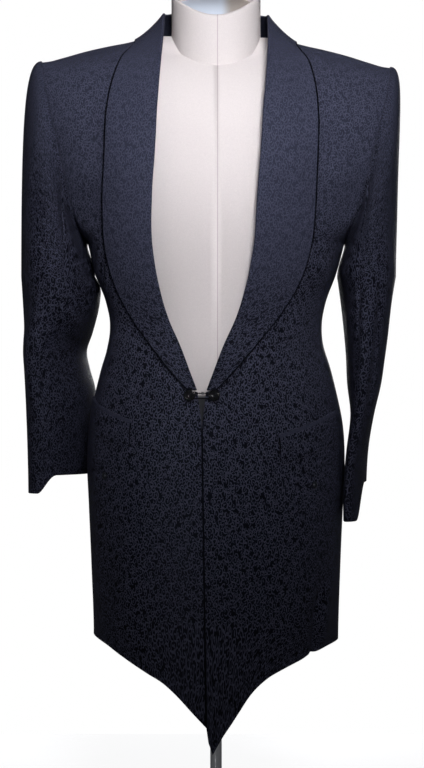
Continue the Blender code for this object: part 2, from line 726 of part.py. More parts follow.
def sleeve(side, share, phi):
    """A point of the sleeve: share runs from -1 at the armhole over 0 at the break to 1 at the cuff.

    The cap leaves the armhole outwards on a smooth curve, most on the shoulder, and ends straight down.
    """
    share, phi = np.broadcast_arrays(np.asarray(share, float), np.asarray(phi, float))
    top = (1 + np.cos(phi)) / 2
    start = armhole(phi) + ARMHOLE_AXIS * ARMHOLE_SEAM
    end = sleeve_ring(side, np.full(phi.shape, SLEEVE_BREAK), phi)
    span = np.linalg.norm(end - start, axis=-1)
    outwards, ahead = 0.45 + 0.55 * top**0.5, -0.22 * np.sin(phi)
    upwards = 0.06 * top - 0.70 * (1 - top) ** 1.5
    lead = unit(np.stack([outwards, ahead, upwards], axis=-1))
    first = start + lead * (CAP_LIFT * (0.45 + 0.55 * top))[..., None]
    fall = span * (0.40 + 0.32 * top)
    second = end + np.stack([np.zeros_like(fall), np.zeros_like(fall), fall], axis=-1)
    f = np.clip(share + 1, 0, 1)[..., None]
    cap = (1 - f) ** 3 * start + 3 * f * (1 - f) ** 2 * first + 3 * f**2 * (1 - f) * second + f**3 * end
    begins, full, eases, ends = CUFF_FALL[side]
    place = (np.degrees(phi) + 120) % 360 - 120
    fall = smooth((place - begins) / (full - begins)) * (1 - smooth((place - eases) / (ends - eases)))
    cuff = CUFF_HEIGHT[side] - CUFF_DROP[side] * fall
    height = SLEEVE_BREAK + (cuff - SLEEVE_BREAK) * np.clip(share, 0, 1)
    return np.where((share > 0)[..., None], sleeve_ring(side, height, phi), cap)


def sleeve_normal(side, share, phi):
    d = 0.004
    down = sleeve(side, np.clip(share + d, -1, 1), phi) - sleeve(side, np.clip(share - d, -1, 1), phi)
    around = sleeve(side, share, phi + d) - sleeve(side, share, phi - d)
    return unit(np.cross(down, around))


def sleeve_panel(name, side, first, last, columns):
    gap = math.degrees(SEAM / 2 / SLEEVE_RADIUS)
    phi = np.radians(np.linspace(first + gap, last - gap, columns)) % (2 * math.pi)
    rows = np.array([s - 1 for s in CAP_STEPS] + list(np.linspace(0, 1, LOWER_SLEEVE_ROWS)))
    share, angle = np.meshgrid(rows, phi, indexing="ij")
    outer = sleeve(side, share, angle)
    normal = sleeve_normal(side, share, angle)
    climb = (math.pi - np.where(phi > math.pi, 2 * math.pi - phi, phi)) / math.pi
    behind = (phi > math.pi)[:, None]
    normal[0] = np.where(behind, armhole_normal(1 + climb, 1), armhole_normal(1 + climb, -1))
    return hung_wall(f"{name}_{side}", side, outer, outer - normal * PANEL)


# Pocket flaps


def flap(side):
    """A flap laid on the front from its upper inner corner outwards, with a rounded lower inner corner."""
    straight = np.linspace(FLAP_CORNER, FLAP_LENGTH, FLAP_COLUMNS)
    along = np.concatenate([[0, 0.3 * FLAP_CORNER], straight])
    start_turn = float(turn_at(np.array(level_of(FLAP_TOP[side])), FLAP_INNER, -1))
    fine = np.linspace(start_turn, 1, 200)
    line = body(level_of(FLAP_TOP[side]), fine, -1)
    walked = np.concatenate([[0], np.cumsum(np.linalg.norm(np.diff(line, axis=0), axis=1))])
    turn = np.interp(along, walked, fine)
    top = FLAP_TOP[side] + FLAP_RISE * along
    corner = np.clip(1 - along / FLAP_CORNER, 0, 1)
    bottom = top - FLAP_DEPTH + FLAP_CORNER * (1 - np.sqrt(1 - corner**2))
    rows = np.linspace(0, 1, FLAP_ROWS)[:, None]
    level = level_of(top + (bottom - top) * rows)
    turn = np.repeat(turn[None], FLAP_ROWS, axis=0)
    surface, normal = body(level, turn, -1), body_normal(level, turn, -1)
    return hung_wall(
        f"pocket_flap_{side}", side, surface + normal * (LAY + FLAP), surface + normal * LAY
    )


# Buttons, link and studs


def button_profile(radius, thick, shank, shank_height):
    """A domed button with a rolled rim on a short shank."""
    return [
        (0, 0),
        (shank, 0),
        (shank, shank_height),
        (radius * 0.86, shank_height),
        (radius, shank_height + thick * 0.38),
        (radius * 0.93, shank_height + thick * 0.72),
        (radius * 0.62, shank_height + thick * 0.94),
        (0, shank_height + thick),
    ]


def on_front(side, x, height):
    """The leaned point and the direction out of the cloth at a place on a front."""
    level = np.array(level_of(height))
    turn = turn_at(level, x, -1)
    d = 0.004
    point = swing(body(level, turn, -1), side)
    up = swing(body(level + d, turn, -1), side) - point
    along = swing(body(level, turn + d, -1), side) - point
    normal = np.cross(along, up) * SIDES[side]
    return point, unit(normal)


def link():
    """Two domed buttons on their shanks, a cord looped round both shanks, and a small clasp on the cord."""
    ends = []
    for side in SIDES:
        point, normal = on_front(side, LINK_BUTTON_OUT, LINK_BUTTON_HEIGHT)
        profile = button_profile(LINK_BUTTON_RADIUS, LINK_BUTTON_DOME, SHANK_RADIUS, SHANK_HEIGHT)
        stand_on(lathe(f"link_button_{side}", profile, 16, "black_button"), point, normal, SEAM)
        ends.append(Vector(point + normal * CORD_HEIGHT))
    right, left = ends
    middle, reach = (right + left) / 2, (left - right) / 2
    points = []
    steps = 8
    for end, first in ((left, 90), (right, 270)):
        for k in range(steps + 1):
            a = math.radians(first - 180 * k / steps)
            points.append(end + Vector((math.cos(a), 0, math.sin(a))) * CORD_LOOP)
    line = bpy.data.curves.new("link_cord", "CURVE")
    line.dimensions = "3D"
    line.bevel_depth = CORD_RADIUS
    line.bevel_resolution = 2
    spline = line.splines.new("POLY")
    spline.points.add(len(points) - 1)
    for knot, p in zip(spline.points, points):
        knot.co = (*p, 1)
    spline.use_cyclic_u = True
    cord = bpy.data.objects.new("link_cord", line)
    cord.data.materials.append(material("black_cord"))
    bpy.context.scene.collection.objects.link(cord)
    clasp_in = CORD_RADIUS + SEAM
    clasp = tube("link_clasp", clasp_in + CLASP_WALL, clasp_in, CLASP_LENGTH, 12, "bright_metal")
    place = middle + reach * CLASP_ASIDE + Vector((0, 0, CORD_LOOP))
    stand_on(clasp, place, reach, -CLASP_LENGTH / 2)


def tube(name, outside, inside, length, segments, finish):
    """An open round tube along +Z."""
    rings = [(inside, 0), (outside, 0), (outside, length), (inside, length)]
    points, faces = [], []
    for radius, height in rings:
        for k in range(segments):
            a = 2 * math.pi * k / segments
            points.append((radius * math.cos(a), radius * math.sin(a), height))
    for r in range(4):
        for k in range(segments):
            n = (k + 1) % segments
            low, high = r * segments, (r + 1) % 4 * segments
            faces.append((low + k, low + n, high + n, high + k))
    return object_from(name, points, faces, finish)


def cuff_buttons(side):
    for k in range(CUFF_BUTTONS):
        height = CUFF_BUTTON_LOWEST[side] + CUFF_BUTTON_PITCH * k
        phi = np.array(math.radians(CUFF_BUTTON_TURN[side]))
        d = 0.01
        point = swing(sleeve_ring(side, np.array(height), phi), side)
        up = swing(sleeve_ring(side, np.array(height + d), phi), side) - point
        along = swing(sleeve_ring(side, np.array(height), phi + d), side) - point
        normal = unit(np.cross(along, up)) * SIDES[side]
        profile = button_profile(CUFF_BUTTON_RADIUS, CUFF_BUTTON_DOME, CUFF_SHANK_RADIUS, CUFF_SHANK_HEIGHT)
        made = lathe(f"cuff_button_{side}_{k + 1}", profile, 12, "black_button")
        stand_on(made, point, normal, BUTTON_GAP)


def studs():
    for side, (x, height) in STUDS.items():
        point, normal = on_front(side, x, height)
        rim, shoulder = STUD_HEIGHT * 0.3, STUD_HEIGHT * 0.77
        profile = [
            (0, 0),
            (STUD_RADIUS, 0),
            (STUD_RADIUS, rim),
            (STUD_RADIUS * 0.7, shoulder),
            (0, STUD_HEIGHT),
        ]
        stand_on(lathe(f"skirt_stud_{side}", profile, 16, "black_button"), point, normal, SEAM)


# Dress form and stand


def torso():
    """The form inside the coat: the body's own sections, smaller, with plain shoulder ends."""
    levels = np.array([level_of(h) for h in FORM_HEIGHTS] + list(UPPER_LEVELS) + [FORM_RIDGE_LEVEL])
    turns = np.linspace(0, FORM_END, FORM_COLUMNS)
    rings = []
    for level in levels:
        close = np.clip((level - FORM_CLOSES[0]) / (FORM_CLOSES[1] - FORM_CLOSES[0]), 0, 1)
        ring = []
        for face in (-1, 1):
            inset = PANEL + FORM_CLEARANCE[face] + (FORM_REST - FORM_CLEARANCE[face]) * close
            steps = turns if face < 0 else turns[::-1]
            reach = steps if level > 1 else steps / FORM_END
            points = body(level, reach, face, FORM_TOP) - body_normal(level, reach, face, FORM_TOP) * inset
            points[:, 0] = np.maximum(points[:, 0], 0)
            ring.append(points)
        half = np.concatenate(ring)
        mirrored = half[::-1] * np.array([-1, 1, 1])
        rings.append(np.concatenate([half, mirrored]))
    grid = tilt(np.array(rings))
    grid[0, :, 2] = FORM_BOTTOM
    rows, columns = grid.shape[:2]
    points = list(grid.reshape(-1, 3))
    faces = []
    for r in range(rows - 1):
        for c in range(columns):
            n = (c + 1) % columns
            low, high = r * columns, (r + 1) * columns
            faces.append((low + c, low + n, high + n, high + c))
    faces.append(tuple(range(columns - 1, -1, -1)))
    top = (rows - 1) * columns
    half = columns // 2
    for c in range(half // 2 - 1):
        faces.append((top + c, top + c + 1, top + half - 2 - c, top + half - 1 - c))
        faces.append((top + half + c, top + half + c + 1, top + columns - 2 - c, top + columns - 1 - c))
    return object_from("form_torso", points, faces, "form_cover")


def neck():
    """The form's neck with a slanted rim and a shallow recess that holds the cap."""
    segments = 24

    def ring(shrink, height_of):
        points = []
        for k in range(segments):
            a = 2 * math.pi * k / segments
            x = (NECK_HALF_WIDTH - shrink) * math.sin(a)
            y = NECK_Y - (NECK_HALF_DEPTH - shrink) * math.cos(a)
            points.append((x, y, height_of(x, y)))
        return points

    def slant(y):
        return RIM_FRONT + RIM_SLOPE * (y - NECK_Y + NECK_HALF_DEPTH)

    def rim(x, y):
        ahead = (NECK_Y + NECK_HALF_DEPTH - y) / (2 * NECK_HALF_DEPTH)
        return slant(y) + RIM_DIP * x**2 * ahead

    rings = [
        ring(0.0, lambda x, y: NECK_FOOT),
        ring(0.0, lambda x, y: NECK_FOOT + 0.5 * (rim(x, y) - NECK_FOOT)),
        ring(0.0, lambda x, y: rim(x, y) - RIM_BEVEL),
        ring(RIM_BEVEL, rim),
        ring(RIM_WALL, rim),
        ring(RIM_WALL, lambda x, y: slant(y) - RIM_DEPTH),
    ]
    points = [p for r in rings for p in r]
    faces = [tuple(range(segments - 1, -1, -1))]
    for r in range(len(rings) - 1):
        for k in range(segments):
            n = (k + 1) % segments
            low, high = r * segments, (r + 1) * segments
            faces.append((low + k, low + n, high + n, high + k))
    last = (len(rings) - 1) * segments
    faces.append(tuple(last + k for k in range(segments)))
    shape = object_from("neck_shape", points, faces, "form_cover")
    cap_rings = [
        ring(RIM_WALL + SEAM, lambda x, y: slant(y) - RIM_DEPTH + SEAM),
        ring(RIM_WALL + SEAM, lambda x, y: slant(y) - RIM_DEPTH + CAP_THICK),
    ]
    points = [p for r in cap_rings for p in r]
    faces = [tuple(range(segments - 1, -1, -1)), tuple(segments + k for k in range(segments))]
    for k in range(segments):
        n = (k + 1) % segments
        faces.append((k, n, segments + n, segments + k))
    object_from("form_neck_cap", points, faces, "cap_board", smooth=False)
    return shape


def join_neck(body_object, neck_object):
    """One closed solid of the torso and the neck."""
    union = body_object.modifiers.new("neck", "BOOLEAN")
    union.operation = "UNION"
    union.solver = "EXACT"
    union.object = neck_object
    neck_object.hide_render = True
    neck_object.display_type = "WIRE"


def stand():
    foot, top = HUB_TOP + SEAM, FORM_BOTTOM - SEAM
    profile = [(0, foot), (POLE_RADIUS, foot), (POLE_RADIUS, top), (0, top)]
    lathe("stand_pole", profile, POLE_SEGMENTS, "stand_metal")
    profile = [
        (0, 0),
        (BASE_RADIUS - BASE_ROUND, 0),
        (BASE_RADIUS, BASE_ROUND),
        (BASE_RADIUS, BASE_THICK - BASE_ROUND),
        (BASE_RADIUS - BASE_ROUND, BASE_THICK),
        (HUB_RADIUS, BASE_TOP),
        (0, BASE_TOP),
    ]
    lathe("stand_base", profile, BASE_SEGMENTS, "stand_metal")
    foot = BASE_TOP + SEAM
    profile = [
        (0, foot),
        (HUB_RADIUS, foot),
        (HUB_RADIUS, HUB_TOP - HUB_ROUND),
        (HUB_RADIUS - HUB_ROUND, HUB_TOP),
        (0, HUB_TOP),
    ]
    lathe("stand_hub", profile, POLE_SEGMENTS, "stand_metal")


def build():
    for old in list(bpy.data.objects):
        bpy.data.objects.remove(old, do_unlink=True)
    for side in SIDES:
        front(side)
        back(side)
        collar(side)
        sleeve_panel("sleeve_top", side, HINDARM_SEAM - 360, FOREARM_SEAM, TOP_SLEEVE_COLUMNS)
        sleeve_panel("sleeve_under", side, FOREARM_SEAM, HINDARM_SEAM, UNDER_SLEEVE_COLUMNS)
        flap(side)
        cuff_buttons(side)
    link()
    studs()
    join_neck(torso(), neck())
    stand()


build()
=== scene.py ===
# %% [markdown]
# # A long jacquard coat on its dress form
#
# The coat is cut from a dark satin jacquard: two fronts that end in a point, two backs, a shawl collar
# and two-piece sleeves. It hangs on a limbless dress form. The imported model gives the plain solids, and
# this script lays finer cloth over them, with the soft creases, the woven scrolls and the light.

# %% Load the frame
import math

import bmesh
import bpy
import numpy as np
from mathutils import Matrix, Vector


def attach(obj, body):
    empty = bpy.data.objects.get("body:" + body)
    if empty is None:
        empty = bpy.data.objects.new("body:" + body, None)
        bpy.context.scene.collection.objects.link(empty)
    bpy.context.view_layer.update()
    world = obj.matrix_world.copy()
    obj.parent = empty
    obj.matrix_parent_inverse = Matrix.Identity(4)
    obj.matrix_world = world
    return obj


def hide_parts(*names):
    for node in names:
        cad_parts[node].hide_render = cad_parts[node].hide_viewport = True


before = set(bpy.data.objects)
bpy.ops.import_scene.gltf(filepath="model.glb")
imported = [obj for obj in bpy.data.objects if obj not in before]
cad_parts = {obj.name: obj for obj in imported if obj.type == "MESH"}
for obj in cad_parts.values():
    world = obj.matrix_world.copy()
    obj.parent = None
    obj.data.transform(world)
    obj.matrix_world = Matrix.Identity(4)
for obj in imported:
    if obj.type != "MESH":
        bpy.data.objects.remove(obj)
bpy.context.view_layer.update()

# %% [markdown]
# ## The camera
#
# The photo is taken from straight in front, a little below chest height, with a long lens. A long lens
# keeps the coat's outline nearly as if drawn to scale, which is why garments are photographed this way.

# %% Camera
LENS, SENSOR_WIDTH, CAMERA_PLACE = 93.75, 36, (-0.0052, -2.6, 0.560)
scene = bpy.context.scene
camera_data = bpy.data.cameras.new("front_camera")
camera_data.lens = LENS
camera_data.sensor_width = SENSOR_WIDTH
camera = bpy.data.objects.new("front_camera", camera_data)
camera.location = CAMERA_PLACE
camera.rotation_euler = (math.radians(90), 0, 0)
scene.collection.objects.link(camera)
scene.camera = camera
print("camera", LENS, "mm at", CAMERA_PLACE)

# %% [markdown]
# ## Tables read as smooth curves
#
# A body is easiest to describe as a few measured sections, the way a tailor would note them. Each table
# row is one section. `curve` reads any column between the rows without corners, so a dozen rows give a
# smooth form at any fineness of mesh.


# %% Reading a table
def curve(table, columns, name, at):
    rows = np.array(table, float)
    keys, values = rows[:, 0], rows[:, columns.index(name)]
    slopes = np.gradient(values, keys)
    at = np.clip(np.asarray(at, float), keys[0], keys[-1])
    i = np.clip(np.searchsorted(keys, at) - 1, 0, len(keys) - 2)
    step = keys[i + 1] - keys[i]
    f = (at - keys[i]) / step
    return (
        (1 + 2 * f) * (1 - f) ** 2 * values[i]
        + f * (1 - f) ** 2 * step * slopes[i]
        + f**2 * (3 - 2 * f) * values[i + 1]
        - f**2 * (1 - f) * step * slopes[i + 1]
    )


def unit(vectors):
    return vectors / np.linalg.norm(vectors, axis=-1, keepdims=True)


def smooth(x):
    x = np.clip(x, 0, 1)
    return x * x * (3 - 2 * x)


print("halfway up a smooth step", smooth(0.5))


# %% [markdown]
# ## The body's sections
#
# Each row gives, at one height, the half width to the side seam or armhole and the depth of the coat to
# the front and to the back. These are the same sections that the solids were made from, so the finer
# cloth lies exactly where they are. `body` turns a level and a turn round the body into a place.

# %% Sections of the body
PANEL, COLLAR, FLAP, SEAM, LAY, BUTTON_GAP = 0.0016, 0.0014, 0.0016, 0.0003, 0.0010, 0.0006
FOOT, UNDERARM, SHOULDER, RIDGE_Y = 0.080, 0.745, 0.9755, 0.012
ARMHOLE_FRONT, ARMHOLE_BACK, ARMHOLE_ROUND, ARMHOLE_SEAM = 0.062, 0.066, 0.85, 0.0004
ARMHOLE_AXIS = np.array((0.969, 0.0, -0.246))
SQUARENESS, ROUNDNESS, FLATTENS, FLATNESS, HOLE_REACH, NUDGE = 2.2, 0.5, 0.345, 0.42, 12, 0.002
MID_SHOULDER, UNCAPPED, HALVINGS = 1.5, 9.0, 26
SIDES = {"right": -1, "left": 1}

BODY_COLUMNS = ("height", "side", "front", "back")
BODY = (
    (0.080, 0.1600, 0.1190, 0.1180),
    (0.235, 0.1595, 0.1185, 0.1190),
    (0.330, 0.1625, 0.1175, 0.1210),
    (0.410, 0.1660, 0.1165, 0.1240),
    (0.458, 0.1680, 0.1155, 0.1250),
    (0.507, 0.1655, 0.1120, 0.1210),
    (0.552, 0.1565, 0.1060, 0.1110),
    (0.578, 0.1500, 0.1020, 0.1030),
    (0.617, 0.1390, 0.0985, 0.0950),
    (0.637, 0.1380, 0.0985, 0.0925),
    (0.669, 0.1440, 0.1020, 0.0930),
    (0.700, 0.1555, 0.1085, 0.0960),
    (0.745, 0.1680, 0.1180, 0.1020),
    (0.767, 0.1775, 0.1220, 0.1050),
    (0.800, 0.1880, 0.1240, 0.1085),
    (0.845, 0.1985, 0.1195, 0.1120),
    (0.890, 0.2085, 0.1120, 0.1130),
    (0.936, 0.2190, 0.1020, 0.1100),
    (0.976, 0.2265, 0.0930, 0.1040),
)
RIDGE_COLUMNS = ("out", "height")
RIDGE = (
    (0.0000, 1.0750),
    (0.0200, 1.0660),
    (0.0400, 1.0460),
    (0.0600, 1.0265),
    (0.0745, 1.0160),
    (0.0900, 1.0098),
    (0.1085, 1.0042),
    (0.1410, 0.9972),
    (0.1670, 0.9910),
    (0.1995, 0.9815),
    (0.2165, 0.9768),
    (0.2265, 0.9755),
)


def level_of(height):
    return (height - FOOT) / (UNDERARM - FOOT)


def upper_levels(count, last=2.0):
    """Levels above the underarm: even in height at first, then even over the shoulder."""
    low = 1 + np.arccos(1 - np.linspace(0, 1, count // 2)[1:]) / math.pi
    return np.concatenate([low, np.linspace(MID_SHOULDER, last, count - count // 2 + 1)[1:]])


def body(level, turn, face, top=UNCAPPED):
    """Level: 0 foot, 1 underarm, 2 shoulder. Turn: 0 centre, 1 side. Face: -1 front, 1 back."""
    level, turn = np.broadcast_arrays(np.asarray(level, float), np.asarray(turn, float))
    climb = np.clip(level - 1, 0, 1)
    rise = (1 - np.cos(math.pi * climb)) / 2
    below, above = FOOT + (UNDERARM - FOOT) * level, UNDERARM + (SHOULDER - UNDERARM) * rise
    height = np.where(level < 1, below, above)
    side = curve(BODY, BODY_COLUMNS, "side", height)
    depth = curve(BODY, BODY_COLUMNS, "front" if face < 0 else "back", height)
    swell = np.sin(math.pi * climb)
    hole = ARMHOLE_FRONT if face < 0 else ARMHOLE_BACK
    centre_y = RIDGE_Y + face * (depth - face * RIDGE_Y) * np.where(climb > 0.5, swell, 1)
    flat = smooth(rise / FLATTENS)
    across = (1 - flat) * np.sin(turn * math.pi / 2) ** (2 / SQUARENESS) + flat * turn
    edge_y = RIDGE_Y + face * hole * swell**ARMHOLE_ROUND * (flat + (1 - flat) * across**HOLE_REACH)
    bulge = np.clip(1 - across**SQUARENESS, 0, 1) ** (ROUNDNESS + FLATNESS * flat)
    x = side * across
    y = edge_y + (centre_y - edge_y) * bulge
    ridge = np.minimum(curve(RIDGE, RIDGE_COLUMNS, "height", x), top)
    z = np.where(level < 1, height, UNDERARM + (ridge - UNDERARM) * rise)
    return np.stack([x, y, z], axis=-1)


def body_normal(level, turn, face, top=UNCAPPED):
    level, turn = np.broadcast_arrays(np.asarray(level, float), np.asarray(turn, float))
    above, below = np.clip(level + NUDGE, 0, 2), np.clip(level - NUDGE, 0, 2)
    outer, inner = np.clip(turn + NUDGE, 0, 1), np.clip(turn - NUDGE, 0, 1)
    up = body(above, turn, face, top) - body(below, turn, face, top)
    along = body(level, outer, face, top) - body(level, inner, face, top)
    return unit(np.cross(along, up) * -face)


def armhole_normal(level, face):
    above, below = np.clip(level + NUDGE, 1, 2), np.clip(level - NUDGE, 1, 2)
    return unit(np.cross(body(above, 1.0, face) - body(below, 1.0, face), ARMHOLE_AXIS) * face)


def halve(is_high, low, high):
    """Closes in on the place where is_high turns true."""
    for _ in range(HALVINGS):
        middle = (low + high) / 2
        found = is_high(middle)
        high = np.where(found, middle, high)
        low = np.where(found, low, middle)
    return (low + high) / 2


def turn_at(level, x, face):
    shape = np.broadcast(level, x).shape
    return halve(lambda turn: body(level, turn, face)[..., 0] > x, np.zeros(shape), np.ones(shape))


def upper_back(x, y):
    def ahead(level):
        return body(level, turn_at(level, x, 1), 1)[..., 1] <= y

    level = halve(ahead, np.full(np.shape(x), MID_SHOULDER), np.full(np.shape(x), 2.0))
    return level, turn_at(level, x, 1)


print("shoulder to shoulder", round(2 * float(body(2, 1, -1)[0]), 4), "m")


# %% [markdown]
# ## How the coat hangs
#
# On the form the fronts lean a little to the wearer's right, and one shoulder sits lower. Both halves are
# worked out as if they were the wearer's left one, and only then put on their own side and leaned.

# %% Lean and tilt
LEAN_COLUMNS = ("height", "lean")
LEAN = (
    (0.080, 0.0115),
    (0.133, 0.0122),
    (0.245, 0.0142),
    (0.345, 0.0158),
    (0.470, 0.0176),
    (0.560, 0.0180),
    (0.660, 0.0185),
    (0.740, 0.0182),
    (0.800, 0.0160),
    (0.850, 0.0118),
    (0.905, 0.0085),
    (0.945, 0.0050),
    (1.000, 0.0010),
    (1.060, 0.0000),
)
LEAN_REACH, LEAN_BACK, LEAN_FRONT = 0.200, 0.010, -0.060
SHOULDER_TILT, TILT_FROM, TILT_TO = 0.016, 0.80, 0.97


def tilt(points):
    x, y, z = points[..., 0], points[..., 1], points[..., 2]
    high = smooth((z - TILT_FROM) / (TILT_TO - TILT_FROM))
    return np.stack([x, y, z - SHOULDER_TILT * high * x], axis=-1)


def swing(points, side):
    p = np.array(points, float)
    x, y, z = p[..., 0], p[..., 1], p[..., 2]
    ahead = smooth((LEAN_BACK - y) / (LEAN_BACK - LEAN_FRONT))
    inner = np.clip(1 - (x / LEAN_REACH) ** 2, 0, 1)
    lean = curve(LEAN, LEAN_COLUMNS, "lean", z) * ahead * inner
    shift = np.stack([lean, 0 * y, 0 * z], axis=-1)
    return tilt(np.stack([SIDES[side] * x, y, z], axis=-1)) - shift


print("largest lean", max(lean for _, lean in LEAN), "m")


# %% [markdown]
# ## Soft creases
#
# Worsted cloth on a form shows few sharp folds. It shows long, shallow troughs where it is pulled, and
# ridges between them. Each row below is one: where its middle is, which way it runs, and how long, wide
# and deep it is. A negative depth is a trough. The profile is a bell across and fades out at both ends.

# %% Creases
# Out, height, angle in degrees, length, width and depth of each crease
FRONT_CREASES = {
    "left": (
        (0.0480, 0.572, 47, 0.044, 0.0046, -0.0050),
        (0.0640, 0.585, 52, 0.060, 0.0080, 0.0026),
        (0.0900, 0.560, 62, 0.110, 0.0120, -0.0016),
        (0.1130, 0.598, 74, 0.070, 0.0100, -0.0014),
        (0.1080, 0.632, 80, 0.060, 0.0110, 0.0013),
        (0.1350, 0.255, 8, 0.095, 0.0042, -0.0062),
        (0.1440, 0.262, 10, 0.115, 0.0070, 0.0034),
        (0.1050, 0.300, -4, 0.220, 0.0230, 0.0016),
        (0.0450, 0.330, 3, 0.260, 0.0260, -0.0015),
        (0.0750, 0.410, -7, 0.200, 0.0200, 0.0012),
        (0.1500, 0.865, 10, 0.150, 0.0160, -0.0024),
        (0.1350, 0.760, 28, 0.130, 0.0160, -0.0022),
        (0.1480, 0.715, 42, 0.080, 0.0110, 0.0016),
        (0.1530, 0.800, 18, 0.090, 0.0120, 0.0014),
    ),
    "right": (
        (0.0560, 0.585, 50, 0.060, 0.0080, -0.0018),
        (0.0850, 0.560, 66, 0.100, 0.0120, -0.0015),
        (0.1100, 0.603, 78, 0.070, 0.0100, 0.0014),
        (0.1080, 0.638, 70, 0.060, 0.0110, -0.0014),
        (0.1000, 0.310, 5, 0.230, 0.0220, 0.0016),
        (0.0500, 0.320, -3, 0.250, 0.0240, -0.0014),
        (0.1350, 0.300, -6, 0.180, 0.0160, -0.0018),
        (0.0720, 0.430, 9, 0.170, 0.0180, 0.0011),
        (0.1500, 0.870, 8, 0.140, 0.0160, -0.0026),
        (0.1360, 0.760, 30, 0.120, 0.0150, -0.0024),
        (0.1500, 0.705, 46, 0.080, 0.0110, 0.0016),
        (0.1250, 0.820, 14, 0.120, 0.0140, 0.0012),
    ),
}
BACK_CREASES = {
    "left": (
        (0.0900, 0.800, 24, 0.160, 0.0170, -0.0024),
        (0.1350, 0.760, 38, 0.110, 0.0130, -0.0022),
        (0.1500, 0.850, 8, 0.140, 0.0140, 0.0018),
        (0.0700, 0.640, 84, 0.080, 0.0100, -0.0018),
        (0.1000, 0.618, 78, 0.070, 0.0090, 0.0014),
        (0.0600, 0.380, 4, 0.240, 0.0220, -0.0022),
        (0.1150, 0.340, -6, 0.220, 0.0200, 0.0020),
        (0.0300, 0.940, 80, 0.070, 0.0110, -0.0012),
    ),
    "right": (
        (0.0850, 0.810, 30, 0.150, 0.0160, -0.0022),
        (0.1400, 0.770, 33, 0.100, 0.0130, -0.0024),
        (0.1480, 0.860, 12, 0.130, 0.0150, 0.0016),
        (0.0800, 0.630, 80, 0.090, 0.0110, -0.0018),
        (0.1080, 0.655, 70, 0.060, 0.0090, 0.0013),
        (0.0500, 0.360, -5, 0.220, 0.0240, -0.0020),
        (0.1200, 0.320, 3, 0.200, 0.0180, 0.0018),
        (0.0400, 0.930, 82, 0.060, 0.0100, -0.0012),
    ),
}


SWAY, SWAYS, FADE_FROM, FADE_RUN = 0.25, 5.0, 1.15, 0.85


def relief(table, across_at, up_at):
    """The height of all creases of a table at places measured across and up the cloth."""
    total = np.zeros(np.broadcast(across_at, up_at).shape)
    for out, height, angle, length, width, depth in table:
        lean = math.radians(angle)
        dx, dz = across_at - out, up_at - height
        along = dx * math.sin(lean) + dz * math.cos(lean)
        beside = dx * math.cos(lean) - dz * math.sin(lean)
        beside = beside + SWAY * width * np.sin(along / length * SWAYS)
        fade = smooth(FADE_FROM - np.abs(along) / (length / 2) * FADE_RUN)
        total += depth * np.exp(-((beside / width) ** 2)) * fade
    return total


print("creases", {side: len(FRONT_CREASES[side]) + len(BACK_CREASES[side]) for side in SIDES})


# %% [markdown]
# ## A cloth wall with a folded edge
#
# Real cloth has two faces and an edge that is turned in, so its edge is round. Each piece here is made of
# two grids, the outer and the inner face, joined round the border by a strip that bulges a little. The UV
# map is laid out in real metres, so that the woven scrolls have the same size on every piece.


# %% Cloth wall
EDGE_BULGE, TINY = 0.35, 1e-9
finishes = {}


def metres_along(points, axis):
    steps = np.linalg.norm(np.diff(points, axis=axis), axis=-1)
    start = np.zeros_like(np.take(steps, [0], axis=axis))
    return np.concatenate([start, np.cumsum(steps, axis=axis)], axis=axis)


def cloth_wall(name, outer, inner, finish, grain):
    rows, columns = outer.shape[:2]
    across = metres_along(outer, 1)
    across = across - across[:, -1:] / 2 + grain[0]
    up = np.repeat(metres_along(outer, 0).mean(axis=1)[:, None], columns, axis=1) + grain[1]
    border = [(0, c) for c in range(columns)] + [(r, columns - 1) for r in range(1, rows)]
    border += [(rows - 1, c) for c in range(columns - 2, -1, -1)] + [(r, 0) for r in range(rows - 2, 0, -1)]
    rim, rim_uv = [], []
    for r, c in border:
        middle = (outer[r, c] + inner[r, c]) / 2
        inside = outer[min(max(r, 1), rows - 2), min(max(c, 1), columns - 2)]
        away = middle - inside
        through = unit(outer[r, c] - inner[r, c])
        away = away - through * np.dot(away, through)
        size = np.linalg.norm(away)
        reach = EDGE_BULGE * np.linalg.norm(outer[r, c] - inner[r, c])
        rim.append(middle + (away / size * reach if size > TINY else 0))
        rim_uv.append((across[r, c], up[r, c]))
    half = rows * columns
    points = np.concatenate([outer.reshape(-1, 3), inner.reshape(-1, 3), np.array(rim)])
    flat = np.stack([across, up], axis=-1).reshape(-1, 2)
    uv = np.concatenate([flat, flat, np.array(rim_uv)])
    faces = []
    for r in range(rows - 1):
        for c in range(columns - 1):
            here, above = r * columns + c, (r + 1) * columns + c
            faces.append((here, here + 1, above + 1, above))
            faces.append((here + half, above + half, above + half + 1, here + half + 1))
    for k, (r, c) in enumerate(border):
        n = (k + 1) % len(border)
        first, second = r * columns + c, border[n][0] * columns + border[n][1]
        mid, mid_next = 2 * half + k, 2 * half + n
        faces.append((mid, mid_next, second, first))
        faces.append((first + half, second + half, mid_next, mid))
    return finish_piece(name, points, faces, finish, uv)


def finish_piece(name, points, faces, finish, uv=None):
    mesh = bpy.data.meshes.new(name)
    mesh.from_pydata([tuple(p) for p in points], [], faces)
    if uv is not None:
        layer = mesh.uv_layers.new(name="metres")
        corners = np.empty(len(mesh.loops), dtype=np.int64)
        mesh.loops.foreach_get("vertex_index", corners)
        layer.data.foreach_set("uv", uv[corners].astype(np.float32).ravel())
    work = bmesh.new()
    work.from_mesh(mesh)
    bmesh.ops.recalc_face_normals(work, faces=work.faces)
    work.to_mesh(mesh)
    work.free()
    mesh.polygons.foreach_set("use_smooth", np.ones(len(mesh.polygons), dtype=bool))
    made = bpy.data.objects.new(name, mesh)
    mesh.materials.append(finishes[finish])
    scene.collection.objects.link(made)
    return made


